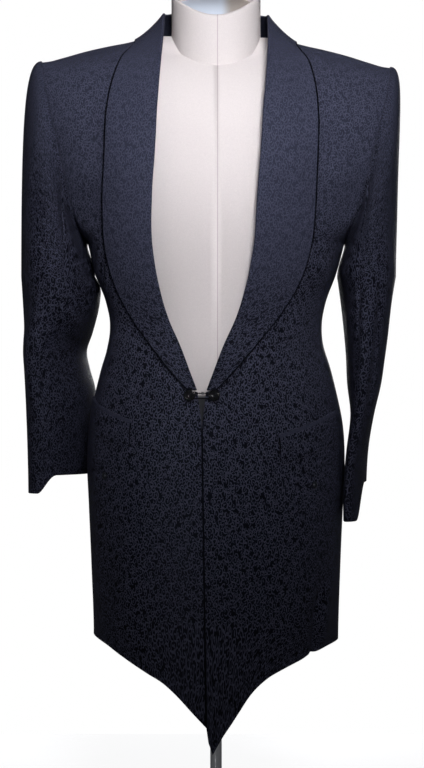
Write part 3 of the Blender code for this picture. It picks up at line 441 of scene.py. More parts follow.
def own(made, node=None):
    """Gives a piece its body, and hides the plain solid that it stands for."""
    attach(made, "root")
    if node:
        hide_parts(node)
    return made


def hang(name, side, outer, inner, grain, finish="jacquard", node=None):
    """Puts a cloth wall on its own side. Both sides are worked out as the wearer's left."""
    for grid in (outer, inner):
        grid[..., 0] = np.maximum(grid[..., 0], SEAM / 2)
    made = cloth_wall(f"cloth_{name}_{side}", swing(outer, side), swing(inner, side), finish, grain)
    return own(made, f"{node or name}_{side}")


print("cloth is", PANEL, "m thick, the collar", COLLAR)


# %% [markdown]
# ## Shader groups: the woven scrolls and the fine weave
#
# A jacquard loom lifts single threads, so that a matt thread outlines small glossy spots. The outlines are
# an endless scatter of open rings and hooks. One node group draws them from Voronoi cells: each cell holds
# a ring that is open on one side and a smaller hook in it, and each cell turns them its own way. Two such
# scatters on top of each other look as irregular as the cloth. A second group gives the fine diagonal rib.


# %% Node helpers
def feed(tree, socket, value):
    """Links a socket to another one, or sets it to a plain value."""
    if isinstance(value, bpy.types.NodeSocket):
        tree.links.new(value, socket)
    elif value is not None:
        socket.default_value = value


def add_node(tree, kind, inputs=None, **settings):
    node = tree.nodes.new(kind)
    for key, value in settings.items():
        setattr(node, key, value)
    for key, value in (inputs or {}).items():
        feed(tree, node.inputs[key], value)
    return node


def maths(tree, operation, first, second=0.0, third=None, clamp=False):
    values = {k: v for k, v in enumerate((first, second, third))}
    return add_node(tree, "ShaderNodeMath", values, operation=operation, use_clamp=clamp).outputs[0]


def inverse(tree, value):
    return maths(tree, "SUBTRACT", 1.0, value)


def vector_maths(tree, operation, first, second, third=None):
    values = {k: v for k, v in enumerate((first, second, third))}
    return add_node(tree, "ShaderNodeVectorMath", values, operation=operation).outputs[0]


def scaled(tree, vector, factor):
    return add_node(tree, "ShaderNodeVectorMath", {0: vector, "Scale": factor}, operation="SCALE").outputs[0]


def step_between(tree, value, low, high):
    values = {"Value": value, "From Min": low, "From Max": high}
    return add_node(tree, "ShaderNodeMapRange", values, interpolation_type="SMOOTHSTEP").outputs["Result"]


def split(tree, vector=None):
    """The X, Y and Z of a vector, or else of the point in the scene."""
    if vector is None:
        vector = add_node(tree, "ShaderNodeNewGeometry").outputs["Position"]
    return add_node(tree, "ShaderNodeSeparateXYZ", {0: vector}).outputs


def mapped(tree, vector, turn=(0, 0, 0), stretch=(1, 1, 1)):
    values = {"Vector": vector, "Rotation": turn, "Scale": stretch}
    return add_node(tree, "ShaderNodeMapping", values).outputs[0]


def noise(tree, place, scale, detail=2.0, dimensions="2D"):
    values = {"Vector": place, "Scale": scale, "Detail": detail}
    return add_node(tree, "ShaderNodeTexNoise", values, noise_dimensions=dimensions).outputs


def new_group(name, inputs, outputs):
    group = bpy.data.node_groups.new(name, "ShaderNodeTree")
    for label, kind, value in inputs:
        socket = group.interface.new_socket(name=label, in_out="INPUT", socket_type=kind)
        if value is not None:
            socket.default_value = value
    for label in outputs:
        group.interface.new_socket(name=label, in_out="OUTPUT", socket_type="NodeSocketFloat")
    return group, group.nodes.new("NodeGroupInput").outputs, group.nodes.new("NodeGroupOutput")


# %% [markdown]
# Each cell of a Voronoi texture tells how far its own centre is and in which direction, so a ring round
# that centre is easy to draw. The cell's colour is used as a lot that turns and sizes the ring. A little
# noise bends the whole place first, so that no two strokes are quite alike.

# %% Scroll group
RING_RADIUS, RING_VARIES, RING_HALF_WIDTH = 0.34, 0.10, 0.060
HOOK_RADIUS, HOOK_HALF_WIDTH, HOOK_REACH, HOOK_TURN = 0.11, 0.06, 0.0, 2.4
LINE_FULL, LINE_GONE, ARC_TAPER, CELL_DISORDER = 0.55, 1.45, 0.2, 0.4
SCATTERS = {"nearly_closed": ((0, 0, 0), 0.6), "half_open": ((7.5, 3.5, 0), 0.1)}
SLANT, STRETCH, DEFAULT_PITCH = (0, 0, math.radians(-28)), (1.30, 0.80, 1.0), 0.0105
DRIFT_SCALE, DRIFT_PUSH, CLOUD_SCALE = 1.1, (0.4, 0.4, 0.0), 1.7


def arc(tree, distance, heading, radius, half_width, facing, reach):
    """A ring of a half width that is open where the heading comes within reach of its facing."""
    off = maths(tree, "ABSOLUTE", maths(tree, "SUBTRACT", distance, radius))
    line = inverse(tree, step_between(tree, off, half_width * LINE_FULL, half_width * LINE_GONE))
    towards = maths(tree, "COSINE", maths(tree, "SUBTRACT", heading, facing))
    kept = inverse(tree, step_between(tree, towards, reach, reach + ARC_TAPER))
    return maths(tree, "MULTIPLY", line, kept)


def scatter(tree, place, shift, reach):
    """One scatter of rings and hooks, one to a cell, with rings that are open past the reach."""
    moved = vector_maths(tree, "ADD", place, shift)
    values = {"Vector": moved, "Scale": 1.0, "Randomness": CELL_DISORDER}
    cells = add_node(tree, "ShaderNodeTexVoronoi", values, voronoi_dimensions="2D", feature="F1").outputs
    parts = split(tree, vector_maths(tree, "SUBTRACT", moved, cells["Position"]))
    lot = add_node(tree, "ShaderNodeSeparateColor", {0: cells["Color"]}).outputs
    heading = maths(tree, "ARCTAN2", parts["Y"], parts["X"])
    facing = maths(tree, "MULTIPLY", lot[0], 2 * math.pi)
    radius = maths(tree, "MULTIPLY_ADD", lot[1], RING_VARIES, RING_RADIUS)
    ring = arc(tree, cells["Distance"], heading, radius, RING_HALF_WIDTH, facing, reach)
    behind = maths(tree, "ADD", facing, HOOK_TURN)
    hook = arc(tree, cells["Distance"], heading, HOOK_RADIUS, HOOK_HALF_WIDTH, behind, HOOK_REACH)
    return maths(tree, "MAXIMUM", ring, hook)


scrolls, entry, leave = new_group(
    "woven_scrolls",
    [("Place", "NodeSocketVector", None), ("Pitch", "NodeSocketFloat", DEFAULT_PITCH)],
    ["Outline", "Cloud"],
)
slanted = mapped(scrolls, entry["Place"], SLANT, STRETCH)
place = scaled(scrolls, slanted, maths(scrolls, "DIVIDE", 1.0, entry["Pitch"]))
drift = vector_maths(scrolls, "SUBTRACT", noise(scrolls, place, DRIFT_SCALE)["Color"], (0.5, 0.5, 0.5))
pushed = vector_maths(scrolls, "MULTIPLY_ADD", drift, DRIFT_PUSH, place)
nearly_closed, half_open = (scatter(scrolls, pushed, *values) for values in SCATTERS.values())
outline = maths(scrolls, "MAXIMUM", nearly_closed, half_open, clamp=True)
feed(scrolls, leave.inputs["Outline"], outline)
feed(scrolls, leave.inputs["Cloud"], noise(scrolls, place, CLOUD_SCALE)["Fac"])
print("scroll group", len(scrolls.nodes), "nodes")

# %% [markdown]
# The ribs of the weave are a wave that runs at a steep angle to the cut edge. A fine noise stands for
# slubs, the thicker places in the yarn.

# %% Fine weave group
RIBS, RIB_TURN, RIB_WAVER = 1800.0, (0, 0, math.radians(63)), 0.6
SLUB_SCALE, SLUB_DETAIL, WAVE_TO_RIBS = 420.0, 3.0, 6.2832
weave, entry, leave = new_group(
    "fine_weave",
    [("Place", "NodeSocketVector", None), ("Ribs", "NodeSocketFloat", RIBS)],
    ["Rib", "Slub"],
)
per_metre = maths(weave, "DIVIDE", entry["Ribs"], WAVE_TO_RIBS)
values = {"Vector": mapped(weave, entry["Place"], RIB_TURN), "Distortion": RIB_WAVER, "Scale": per_metre}
lines = add_node(weave, "ShaderNodeTexWave", values, wave_type="BANDS", bands_direction="X")
feed(weave, leave.inputs["Rib"], lines.outputs["Fac"])
feed(weave, leave.inputs["Slub"], noise(weave, entry["Place"], SLUB_SCALE, SLUB_DETAIL)["Fac"])
print("groups", [group.name for group in bpy.data.node_groups])

# %% [markdown]
# ## The jacquard
#
# The outlines are a matt navy thread, and the spots between them a darker satin that lies a hair lower.
# On the shoulders and the chest the satin throws the lamp's light back and the pattern nearly goes. In
# the shade of the waist and skirt it stands out. That sheen is painted: the satin's colour is paler above
# a height and darker below it, in place of hard highlights. Colour and roughness both follow the pattern.


# %% Material helpers
BUMP_STRENGTH = 0.5


def plain_material(name):
    made = bpy.data.materials.new(f"{name}_finish")
    made.use_nodes = True
    finishes[name] = made
    return made.node_tree, made.node_tree.nodes["Principled BSDF"]


def mixed(tree, factor, first, second):
    """The Mix node keeps its two colours in the sockets 6 and 7."""
    values = {0: factor, 6: first, 7: second}
    return add_node(tree, "ShaderNodeMix", values, data_type="RGBA").outputs[2]


def bumped(tree, height, size):
    values = {"Strength": BUMP_STRENGTH, "Distance": size, "Height": height}
    return add_node(tree, "ShaderNodeBump", values).outputs[0]


def dress(tree, shader, **values):
    """Feeds the sockets of a shader node. An underscore in a name stands for a space."""
    for name, value in values.items():
        feed(tree, shader.inputs[name.replace("_", " ")], value)


# %% [markdown]
# The front's two edges meet in a deep line, a flap has a pressed ridge along its seam and a slit at its
# inner end, and the lapel's outer edge throws a thin shade. These are painted: bands of painted shade along
# the fronts' line, the flap's slit and the lapel's edge, and a band of painted highlight along the flap's
# ridge, each across the weave. The fronts find theirs by place, the flaps and lapels by metres from their
# own edge.

# %% Painted shade and highlights
LINE_TOP, LINE_FADES, LINE_HALF_WIDTH, LINE_ROWS_TO = 0.512, 0.006, (0.0007, 0.0017), 0.562
FLAP_GRAIN, LAPEL_GRAIN = (0.010, 0.020), (0.070, 0.300)
RIDGE_HIGHLIGHT_END, SLIT_SHADE_END, LAPEL_SHADE = (0.0030, 0.0052), (0.0012, 0.0024), (-0.0028, -0.0014)
# The first colour is a painted highlight, the second a painted shade
RIDGE_HIGHLIGHT_COLOUR, PAINTED_SHADE_COLOUR = (0.028, 0.0285, 0.044, 1), (0.0008, 0.0008, 0.0012, 1)


def band(tree, value, start, ends):
    return step_between(tree, value, start + ends[0], start + ends[1])


def flap_painted_light(tree, place, colour):
    """A painted highlight along the flap's pressed ridge at its seam and painted shade in the slit at its
    inner end.
    """
    at = split(tree, place)
    # Painted highlight: a pale band along the flap's ridge
    below = band(tree, at["Y"], FLAP_GRAIN[1], RIDGE_HIGHLIGHT_END)
    # Painted shade: a dark band in the slit at the flap's inner end
    beside = band(tree, at["X"], FLAP_GRAIN[0], SLIT_SHADE_END)
    kept = maths(tree, "MAXIMUM", beside, inverse(tree, below))
    return mixed(tree, kept, PAINTED_SHADE_COLOUR, mixed(tree, below, RIDGE_HIGHLIGHT_COLOUR, colour))


def lapel_painted_shade(tree, place, colour):
    """Painted shade along the lapel's outer edge, where it lies on the front."""
    # Painted shade: a dark band along the lapel's outer edge
    return mixed(tree, band(tree, split(tree, place)["X"], LAPEL_GRAIN[0], LAPEL_SHADE), colour, PAINTED_SHADE_COLOUR)


def front_painted_shade(tree, place, colour):
    """Painted shade along the line where the two fronts meet below the link."""
    at = split(tree)
    rows = [row for row in LEAN if row[0] < LINE_ROWS_TO]
    slope, start = np.polyfit([row[0] for row in rows], [-row[1] for row in rows], 1)
    line = maths(tree, "MULTIPLY_ADD", at["Z"], float(slope), float(start))
    away = maths(tree, "ABSOLUTE", maths(tree, "SUBTRACT", at["X"], line))
    # Painted shade: a dark band along the fronts' meeting line below the link
    beside = step_between(tree, away, *LINE_HALF_WIDTH)
    above = step_between(tree, at["Z"], LINE_TOP - LINE_FADES, LINE_TOP)
    return mixed(tree, maths(tree, "MAXIMUM", beside, above), PAINTED_SHADE_COLOUR, colour)


print("the fronts' line ends at", LINE_TOP, "m")

# %% [markdown]
# The lapels are fused to a canvas and cut on another grain, so their satin lies flatter and catches more
# light. That sheen is painted in: the lapels get the same weave in a paler, calmer tone. The sleeves' thread
# is painted a little darker, as painted shade on the sleeves.

# %% Jacquard materials
PITCH, SATIN_ROUGHNESS, THREAD_ROUGHNESS = 0.0084, 0.44, 0.84
SATIN, SHINE_TINT, RIB_HEIGHT = (0.0018, 0.0018, 0.0030, 1), (0.66, 0.72, 1.0, 1), 0.22
CLOUD_SHADES, DARKEST, SLUB_SHADES = 0.3, 0.60, 0.5
THREAD_LIES_UP, CLOTH_SHINE, LAPEL_LIES_UP, LAPEL_SHINE = 0.00022, 0.12, 0.00014, 0.16
# Painted sheen: the pale satins stand for light thrown back on the upper coat, and paler still on the lapels
SHEEN_SATIN, LAPEL_SHEEN_SATIN = (0.0190, 0.0196, 0.0310, 1), (0.0200, 0.0206, 0.0330, 1)
# Painted shade: the sleeves' thread is darker than the body's
THREAD, SHADED_SLEEVE_THREAD = (0.0520, 0.0530, 0.0810, 1), (0.0370, 0.0376, 0.0580, 1)
LAPEL_THREAD = (0.0470, 0.0480, 0.0740, 1)


def jacquard(name, sheen_satin, thread, between, depth=THREAD_LIES_UP, shine=CLOTH_SHINE, painted_light=None):
    tree, shader = plain_material(name)
    place = add_node(tree, "ShaderNodeUVMap", uv_map="metres").outputs[0]
    motif = add_node(tree, "ShaderNodeGroup", {"Place": place, "Pitch": PITCH}, node_tree=scrolls).outputs
    threads = add_node(tree, "ShaderNodeGroup", {"Place": place, "Ribs": RIBS}, node_tree=weave).outputs
    outline = motif["Outline"]
    # Painted sheen: the satin fades to its pale colour above a height, for the lamp's light on the upper
    # coat
    sheen_above = step_between(tree, split(tree)["Z"], *between)
    colour = mixed(tree, outline, mixed(tree, sheen_above, SATIN, sheen_satin), thread)
    if painted_light:
        colour = painted_light(tree, place, colour)
    uneven = maths(tree, "MULTIPLY_ADD", motif["Cloud"], CLOUD_SHADES, DARKEST)
    shade = maths(tree, "MULTIPLY_ADD", threads["Slub"], SLUB_SHADES, uneven)
    rougher = THREAD_ROUGHNESS - SATIN_ROUGHNESS
    dress(
        tree,
        shader,
        Base_Color=scaled(tree, colour, shade),
        Roughness=maths(tree, "MULTIPLY_ADD", outline, rougher, SATIN_ROUGHNESS),
        Specular_IOR_Level=shine,
        Specular_Tint=SHINE_TINT,
        Normal=bumped(tree, maths(tree, "MULTIPLY_ADD", threads["Rib"], RIB_HEIGHT, outline), depth),
    )


# Name, satin with painted sheen, thread, and the heights between which the satin turns from dark to pale
jacquard("jacquard", SHEEN_SATIN, THREAD, (0.70, 0.82))
jacquard("front_jacquard", SHEEN_SATIN, THREAD, (0.70, 0.82), painted_light=front_painted_shade)
jacquard("flap_jacquard", SHEEN_SATIN, THREAD, (0.70, 0.82), painted_light=flap_painted_light)
# Painted shade: the sleeves' copy of the jacquard has the darker thread
jacquard("shaded_sleeve_jacquard", SHEEN_SATIN, SHADED_SLEEVE_THREAD, (0.78, 0.98))
# Painted sheen: the lapels' copy of the jacquard is paler
jacquard("lit_lapel_jacquard", LAPEL_SHEEN_SATIN, LAPEL_THREAD, (0.62, 0.74), LAPEL_LIES_UP, LAPEL_SHINE, lapel_painted_shade)
print("jacquards", [name for name in finishes if "jacquard" in name])

# %% [markdown]
# ## Fronts
#
# Each front is one piece from the shoulder to the point, with no seam at the waist. Its inner edge runs
# under the rolled lapel, opens round the link and closes again below it. The hem falls steeply from the
# side to the point, unevenly, as it does on the real coat.

# %% Tables of the fronts
LAPEL_COLUMNS = ("height", "roll", "edge")
LAPEL = (
    (0.5500, 0.0060, 0.0165),
    (0.5600, 0.0095, 0.0260),
    (0.5730, 0.0145, 0.0380),
    (0.6050, 0.0265, 0.0640),
    (0.6430, 0.0430, 0.0920),
    (0.6780, 0.0535, 0.1125),
    (0.7130, 0.0605, 0.1255),
    (0.7400, 0.0640, 0.1310),
    (0.7900, 0.0655, 0.1340),
    (0.8500, 0.0660, 0.1340),
    (0.9100, 0.0665, 0.1335),
    (0.9420, 0.0668, 0.1305),
    (0.9690, 0.0670, 0.1250),
    (0.9880, 0.0670, 0.1187),
    (1.0060, 0.0665, 0.1050),
    (1.0200, 0.0665, 0.1045),
)
LEAF_END, STEP_TOP, STEP_FOOT, SKIRT_FROM = 0.5521, 0.5515, 0.5500, 0.260
UNDER_WIDTH, UNDER_WIDTH_END, UNDER_WIDENS, ROLL_RADIUS = 0.0080, 0.0045, 0.06, 0.0016
PARTING_COLUMNS = ("height", "apart")
PARTING = (
    (0.0800, 0.0002),
    (0.4900, 0.0002),
    (0.5050, 0.0006),
    (0.5250, 0.0026),
    (0.5400, 0.0044),
    (0.5500, 0.0056),
)
HEM_COLUMNS = ("out", "right", "left")
HEM = (
    (0.0000, 0.1330, 0.1310),
    (0.0035, 0.1370, 0.1080),
    (0.0068, 0.1405, 0.1000),
    (0.0120, 0.1460, 0.1080),
    (0.0200, 0.1545, 0.1215),
    (0.0300, 0.1655, 0.1360),
    (0.0400, 0.1755, 0.1510),
    (0.0550, 0.1880, 0.1730),
    (0.0750, 0.1990, 0.1920),
    (0.0950, 0.2100, 0.2030),
    (0.1150, 0.2210, 0.2120),
    (0.1350, 0.2315, 0.2205),
    (0.1500, 0.2360, 0.2260),
    (0.1600, 0.2375, 0.2290),
)
TOP_LEVEL, SEAM_TURN, FIRST_GUESS, GUESSES = 1.9995, 0.9991, 0.4, 6


def under_width(height):
    f = np.clip((height - LEAF_END) / UNDER_WIDENS, 0, 1)
    return UNDER_WIDTH_END + (UNDER_WIDTH - UNDER_WIDTH_END) * f


def front_edge(height):
    parted = curve(PARTING, PARTING_COLUMNS, "apart", height)
    rolled = curve(LAPEL, LAPEL_COLUMNS, "roll", height) + under_width(height)
    return np.where(height < (STEP_TOP + STEP_FOOT) / 2, parted, rolled)


def edge_height(level):
    level = np.asarray(level, float)
    height = body(level, FIRST_GUESS, -1)[..., 2]
    for _ in range(GUESSES):
        height = body(level, turn_at(level, front_edge(height), -1), -1)[..., 2]
    return height


print("widest lapel", round(max(edge - roll for _, roll, edge in LAPEL), 4), "m")


# %% [markdown]
# The creases must not push the cloth into the form, the lapel or its neighbours, so `calmed` lets them
# fade towards the seams and edges. Along the hem a quarter of each is left.


# %% Panel with creases
HEM_CALM, ROW_MARGIN, COLUMN_MARGIN, LAST_STEP = 0.25, 0.04, 0.08, 0.985


def edge_fade(count, margin):
    """0 at both ends of a run of points and 1 further in than the margin."""
    place = np.linspace(0, 1, count)
    return smooth(np.minimum(place, 1 - place) / margin)


def calmed(rows, columns):
    along_rows = np.minimum(1, HEM_CALM + edge_fade(rows, ROW_MARGIN))
    return along_rows[:, None] * edge_fade(columns, COLUMN_MARGIN)[None]


def creased_panel(level, turn, face, creases, calm):
    outer = body(level, turn, face)
    normal = body_normal(level, turn, face)
    edge = level[:, -1] > 1
    normal[edge, -1] = armhole_normal(level[edge, -1], face)
    lift = relief(creases, outer[..., 0], outer[..., 2]) * calm
    outer = outer + normal * lift[..., None]
    return outer, outer - normal * PANEL


print("a sample of the fade", [round(float(v), 2) for v in edge_fade(5, 0.5)])

# %% [markdown]
# The rows of a front are level lines up to the shoulder, and its columns run from the front edge to the
# side seam. The lowest rows are squeezed towards the slanted hem, so the cloth ends cleanly in its point.


# %% Front piece
def fine_shares(count, first=0.006):
    """Even steps with one short step at each end, which keeps the folded edge crisp."""
    return np.concatenate([[0.0], np.linspace(first, 1 - first, count - 2), [1.0]])


FRONT_COLUMNS, HEM_ROWS, SKIRT_ROWS, CHEST_ROWS, UPPER_ROWS = 64, 22, 78, 40, 62
HEM_EDGE, HEM_INNER, FRONT_GRAIN, BACK_GRAIN = 0.012, 0.05, (0.10, 0.0), (0.35, 0.11)


def front(side):
    skirt = np.linspace(level_of(SKIRT_FROM), level_of(STEP_FOOT), SKIRT_ROWS)
    chest = np.linspace(level_of(STEP_TOP), 1.0, CHEST_ROWS)
    rows = np.concatenate([skirt, chest, upper_levels(UPPER_ROWS, TOP_LEVEL)])
    inner = turn_at(rows, front_edge(edge_height(rows)), -1)
    inner[:SKIRT_ROWS] = turn_at(skirt, front_edge(FOOT + (UNDERARM - FOOT) * skirt), -1)
    share = fine_shares(FRONT_COLUMNS)
    turn = inner[:, None] + (SEAM_TURN - inner[:, None]) * share
    level = np.repeat(rows[:, None], FRONT_COLUMNS, axis=1)
    out = body(0.0, turn[0], -1)[..., 0]
    low = level_of(curve(HEM, HEM_COLUMNS, side, out))
    if side == "left":
        low = low + NOTCH_DEPTH / (UNDERARM - FOOT) * notch(out)
    steps = np.concatenate([[0.0, HEM_EDGE], np.linspace(HEM_INNER, 1, HEM_ROWS, endpoint=False)])[:, None]
    level = np.concatenate([low + (level[0] - low) * steps, level])
    turn = np.concatenate([np.repeat(turn[:1], len(steps), axis=0), turn])
    outer, under = creased_panel(level, turn, -1, FRONT_CREASES[side], calmed(*level.shape))
    grain = (FRONT_GRAIN[0] * SIDES[side], FRONT_GRAIN[1])
    return hang("front", side, outer, under, grain, "front_jacquard")


print("a front has", FRONT_COLUMNS, "columns")


# %% [markdown]
# Near the side seam the hem of the wearer's left front is caught up, which makes a small notch with a
# sharp trough above it.

# %% The notch and both fronts
NOTCH_OUT, NOTCH_DEPTH, NOTCH_WIDTH, NOTCH_INNER = 0.1270, 0.0042, 0.0055, 0.35


def notch(out):
    return np.exp(-(((out - NOTCH_OUT) / NOTCH_WIDTH) ** 2)) * np.where(out > NOTCH_OUT, 1.0, NOTCH_INNER)


fronts = {side: front(side) for side in SIDES}
print("front triangles", {s: 2 * len(o.data.polygons) for s, o in fronts.items()})

# %% [markdown]
# ## Backs
#
# The back is not in the photo. A coat of this cut has two back pieces joined down the middle, so that is
# all it gets, with creases like those of the fronts: from the armholes towards the waist, and long soft
# folds in the skirt.

# %% Backs
NECKLINE, BACK_HEM_DROP, BACK_SEAM_TURN, HAIR = (0.0745, 0.0720), 0.004, 0.0008, 2e-6
BACK_HEM_EDGE, BACK_HEM_INNER = 0.004, 0.015
BACK_NECK_COLUMNS, BACK_SIDE_COLUMNS, BACK_ROWS, NECK_CALM_ROWS = 20, 34, 78, 14


def neckline_level(turn):
    def behind(level):
        p = body(level, turn, 1)
        return (p[..., 0] / NECKLINE[0]) ** 2 + ((p[..., 1] - RIDGE_Y) / NECKLINE[1]) ** 2 <= 1

    return halve(behind, np.full(np.shape(turn), MID_SHOULDER), np.full(np.shape(turn), TOP_LEVEL)) - HAIR


def back(side):
    neck_turn = float(turn_at(np.array(TOP_LEVEL), NECKLINE[0], 1))
    angles = np.linspace(0, math.pi / 2, BACK_NECK_COLUMNS, endpoint=False)
    neck = upper_back(NECKLINE[0] * np.sin(angles), RIDGE_Y + NECKLINE[1] * np.cos(angles))[1]
    out = np.concatenate([np.linspace(0, LAST_STEP, BACK_SIDE_COLUMNS - 1), [1.0]])
    turn = np.concatenate([neck, neck_turn + (SEAM_TURN - neck_turn) * out])
    turn[0] = BACK_SEAM_TURN
    top = np.full(turn.shape, TOP_LEVEL)
    top[: len(angles)] = neckline_level(turn[: len(angles)])
    hem = level_of(float(curve(HEM, HEM_COLUMNS, side, HEM[-1][0])) - BACK_HEM_DROP * (1 - turn**2))
    share = np.concatenate([[0.0, BACK_HEM_EDGE], np.linspace(BACK_HEM_INNER, 1, BACK_ROWS)])[:, None]
    climb = (upper_levels(UPPER_ROWS) - 1)[:, None]
    level = np.concatenate([hem + (1 - hem) * share, 1 + (top - 1) * climb])
    turn = np.repeat(turn[None], len(level), axis=0)
    calm = calmed(*level.shape)
    calm[-NECK_CALM_ROWS:] *= np.linspace(1, 0, NECK_CALM_ROWS)[:, None]
    outer, under = creased_panel(level, turn, 1, BACK_CREASES[side], calm)
    return hang("back", side, outer, under, (BACK_GRAIN[0] * SIDES[side], BACK_GRAIN[1]))


backs = {side: back(side) for side in SIDES}
print("back triangles", {s: 2 * len(o.data.polygons) for s, o in backs.items()})

# %% [markdown]
# ## The shawl collar
#
# A shawl collar and its lapels are one strip with no notch. It stands up from the neckline, rolls over
# and comes down to lie on the front. The leaf floats just off the front at the roll and settles onto it
# towards its edge. The roll itself is kept round and never pressed flat.

# %% Collar rows
LEAF_INNER, LEAF_OUTER, LEAF_OUTER_Y, BACK_LAY = (0.0725, 0.0670), (0.1112, 0.1225), -0.030, 0.0009
FOLD, FOLD_SIDE_HEIGHT, FOLD_BACK_HEIGHT = (0.0680, 0.0585), 1.0408, 1.0585
STAND_STARTS, STAND_RISE, STAND_CURVE = 0.72, 0.0196, 1.6
LEAF_FADE, LAPEL_FADE, FOLD_SPREAD = 1.25, 4.0, 2
STAND_POINTS, ROLL_POINTS, LEAF_POINTS, NECK_ROWS, LAPEL_ROWS = 6, 9, 26, 26, (60, 46)
LAPEL_TOP, LEAF_GAP, LEAF_GAP_RISE = 1.97, 0.0005, 0.004


def neck_rows(q):
    """Seams, roll centres, rest points and normals of the rows round the back of the neck."""
    angle = np.radians(np.linspace(0, 90, NECK_ROWS))
    sine, cosine = np.sin(angle), np.cos(angle)
    level, turn = upper_back(NECKLINE[0] * sine, RIDGE_Y + NECKLINE[1] * cosine)
    seams = body(level, turn, 1) - body_normal(level, turn, 1) * PANEL / 2
    high = FOLD_SIDE_HEIGHT + (FOLD_BACK_HEIGHT - FOLD_SIDE_HEIGHT) * cosine**2
    centres = np.stack([FOLD[0] * sine, RIDGE_Y + FOLD[1] * cosine, high], axis=-1)
    outer_y = RIDGE_Y + (LEAF_OUTER_Y + LEAF_OUTER[1] - RIDGE_Y) * cosine
    outer_x = LEAF_OUTER[0] * np.sqrt(np.clip(1 - ((outer_y - LEAF_OUTER_Y) / LEAF_OUTER[1]) ** 2, 0, 1))
    inner_x, inner_y = LEAF_INNER[0] * sine, RIDGE_Y + LEAF_INNER[1] * cosine
    x = inner_x[:, None] + (outer_x - inner_x)[:, None] * q
    y = inner_y[:, None] + (outer_y - inner_y)[:, None] * q
    level, turn = upper_back(x, y)
    normals = body_normal(level, turn, 1)
    rests = body(level, turn, 1) + normals * (BACK_LAY * np.sin(2 * angle))[:, None, None]
    return seams, centres, rests, normals, np.full(len(angle), LEAF_FADE)


def lapel_rows(q):
    """The same for the rows down the lapel."""
    chest = np.linspace(1.0, level_of(LEAF_END), LAPEL_ROWS[1])
    level = np.concatenate([upper_levels(LAPEL_ROWS[0], LAPEL_TOP)[::-1], chest])
    height = edge_height(level)
    roll = curve(LAPEL, LAPEL_COLUMNS, "roll", height)
    edge = curve(LAPEL, LAPEL_COLUMNS, "edge", height)
    turn = turn_at(level, roll + under_width(height), -1)
    seams = body(level, turn, -1) - body_normal(level, turn, -1) * PANEL / 2
    turn = turn_at(level, roll + ROLL_RADIUS, -1)
    up = np.clip((level - 1 - STAND_STARTS) / (1 - STAND_STARTS), 0, None)
    centres = body(level, turn, -1) + body_normal(level, turn, -1) * (ROLL_RADIUS - PANEL / 2)
    centres[:, 2] += STAND_RISE * up**STAND_CURVE
    start = roll + ROLL_RADIUS + LEAF_GAP + LEAF_GAP_RISE * up
    wide = np.repeat(level[:, None], len(q), axis=1)
    turn = turn_at(wide, start[:, None] + (edge - start)[:, None] * q, -1)
    fades = LEAF_FADE + LAPEL_FADE * (1 - np.minimum(1, up * FOLD_SPREAD))
    return seams, centres, body(wide, turn, -1), body_normal(wide, turn, -1), fades


leaf_shares = np.concatenate([np.linspace(0, LAST_STEP, LEAF_POINTS - 1), [1.0]])
collar_rows = [np.concatenate(pair) for pair in zip(neck_rows(leaf_shares), lapel_rows(leaf_shares))]
print("collar rows", len(collar_rows[0]))


# %% [markdown]
# The lapel is fused to a canvas inside, so it stays smoother than the fronts. It gets only a slight
# spring near the roll and a few long, faint waves.

# %% Collar
LAPEL_WAVES = {
    "right": ((0.30, 0.0009), (0.62, -0.0008)),
    "left": ((0.36, 0.0008), (0.70, -0.0010)),
}
WAVINESS, WAVES_START, WAVES_END = 9, (0.25, 0.1), 0.2


def collar(side):
    q = leaf_shares
    seams, centres, rests, normals, fades = collar_rows
    up = centres - seams
    run = unit(np.gradient(centres, axis=0))
    up = unit(up - run * np.sum(up * run, axis=-1, keepdims=True))
    out = unit(np.cross(up, run))
    lift = SEAM + PANEL / 2 * np.abs(np.sum(up * normals[:, 0], axis=-1, keepdims=True))
    foot = seams + up * lift
    inner_turn = centres - out * ROLL_RADIUS
    path = [foot + (inner_turn - foot) * f for f in np.linspace(0, 1, STAND_POINTS)[:-1]]
    for angle in np.linspace(0, math.pi, ROLL_POINTS):
        path.append(centres + ROLL_RADIUS * (math.sin(angle) * up - math.cos(angle) * out))
    leaf = rests + normals * (LAY + COLLAR / 2)
    lifted = path[-1] - leaf[:, 0]
    along = np.linspace(0, 1, len(seams))
    for k in range(1, len(q)):
        waves = (a * np.sin(WAVINESS * (along - c)) * np.sin(math.pi * q[k]) for c, a in LAPEL_WAVES[side])
        wave = sum(waves)
        wave = np.maximum(wave, 0) * smooth((along - WAVES_START[0]) / WAVES_START[1])
        wave = wave * smooth((1 - along) / WAVES_END)
        path.append(leaf[:, k] + lifted * ((1 - q[k]) ** fades)[:, None] + normals[:, k] * wave[:, None])
    middle = np.stack(path, axis=1)
    normal = unit(np.cross(np.gradient(middle, axis=0), np.gradient(middle, axis=1)))
    normal *= np.sign(np.sum(normal[len(normal) // 2, -1] * normals[len(normal) // 2, -1]))
    outer, inner = middle + normal * COLLAR / 2, middle - normal * COLLAR / 2
    to_edge = LAPEL_GRAIN[0] - metres_along(swing(outer, side), 1)[:, -1:] / 2
    return hang("collar", side, outer, inner, (to_edge, LAPEL_GRAIN[1]), "lit_lapel_jacquard")


collars = {side: collar(side) for side in SIDES}
print("collar triangles", {s: 2 * len(o.data.polygons) for s, o in collars.items()})

# %% [markdown]
# ## Sleeves
#
# A tailored sleeve is two pieces, a wide one over the arm and a narrow one under it. Its head is a little
# fuller than the armhole, which gives the small raised roll at the shoulder. With no arm inside it, the
# sleeve hangs flat and breaks softly at the elbow.

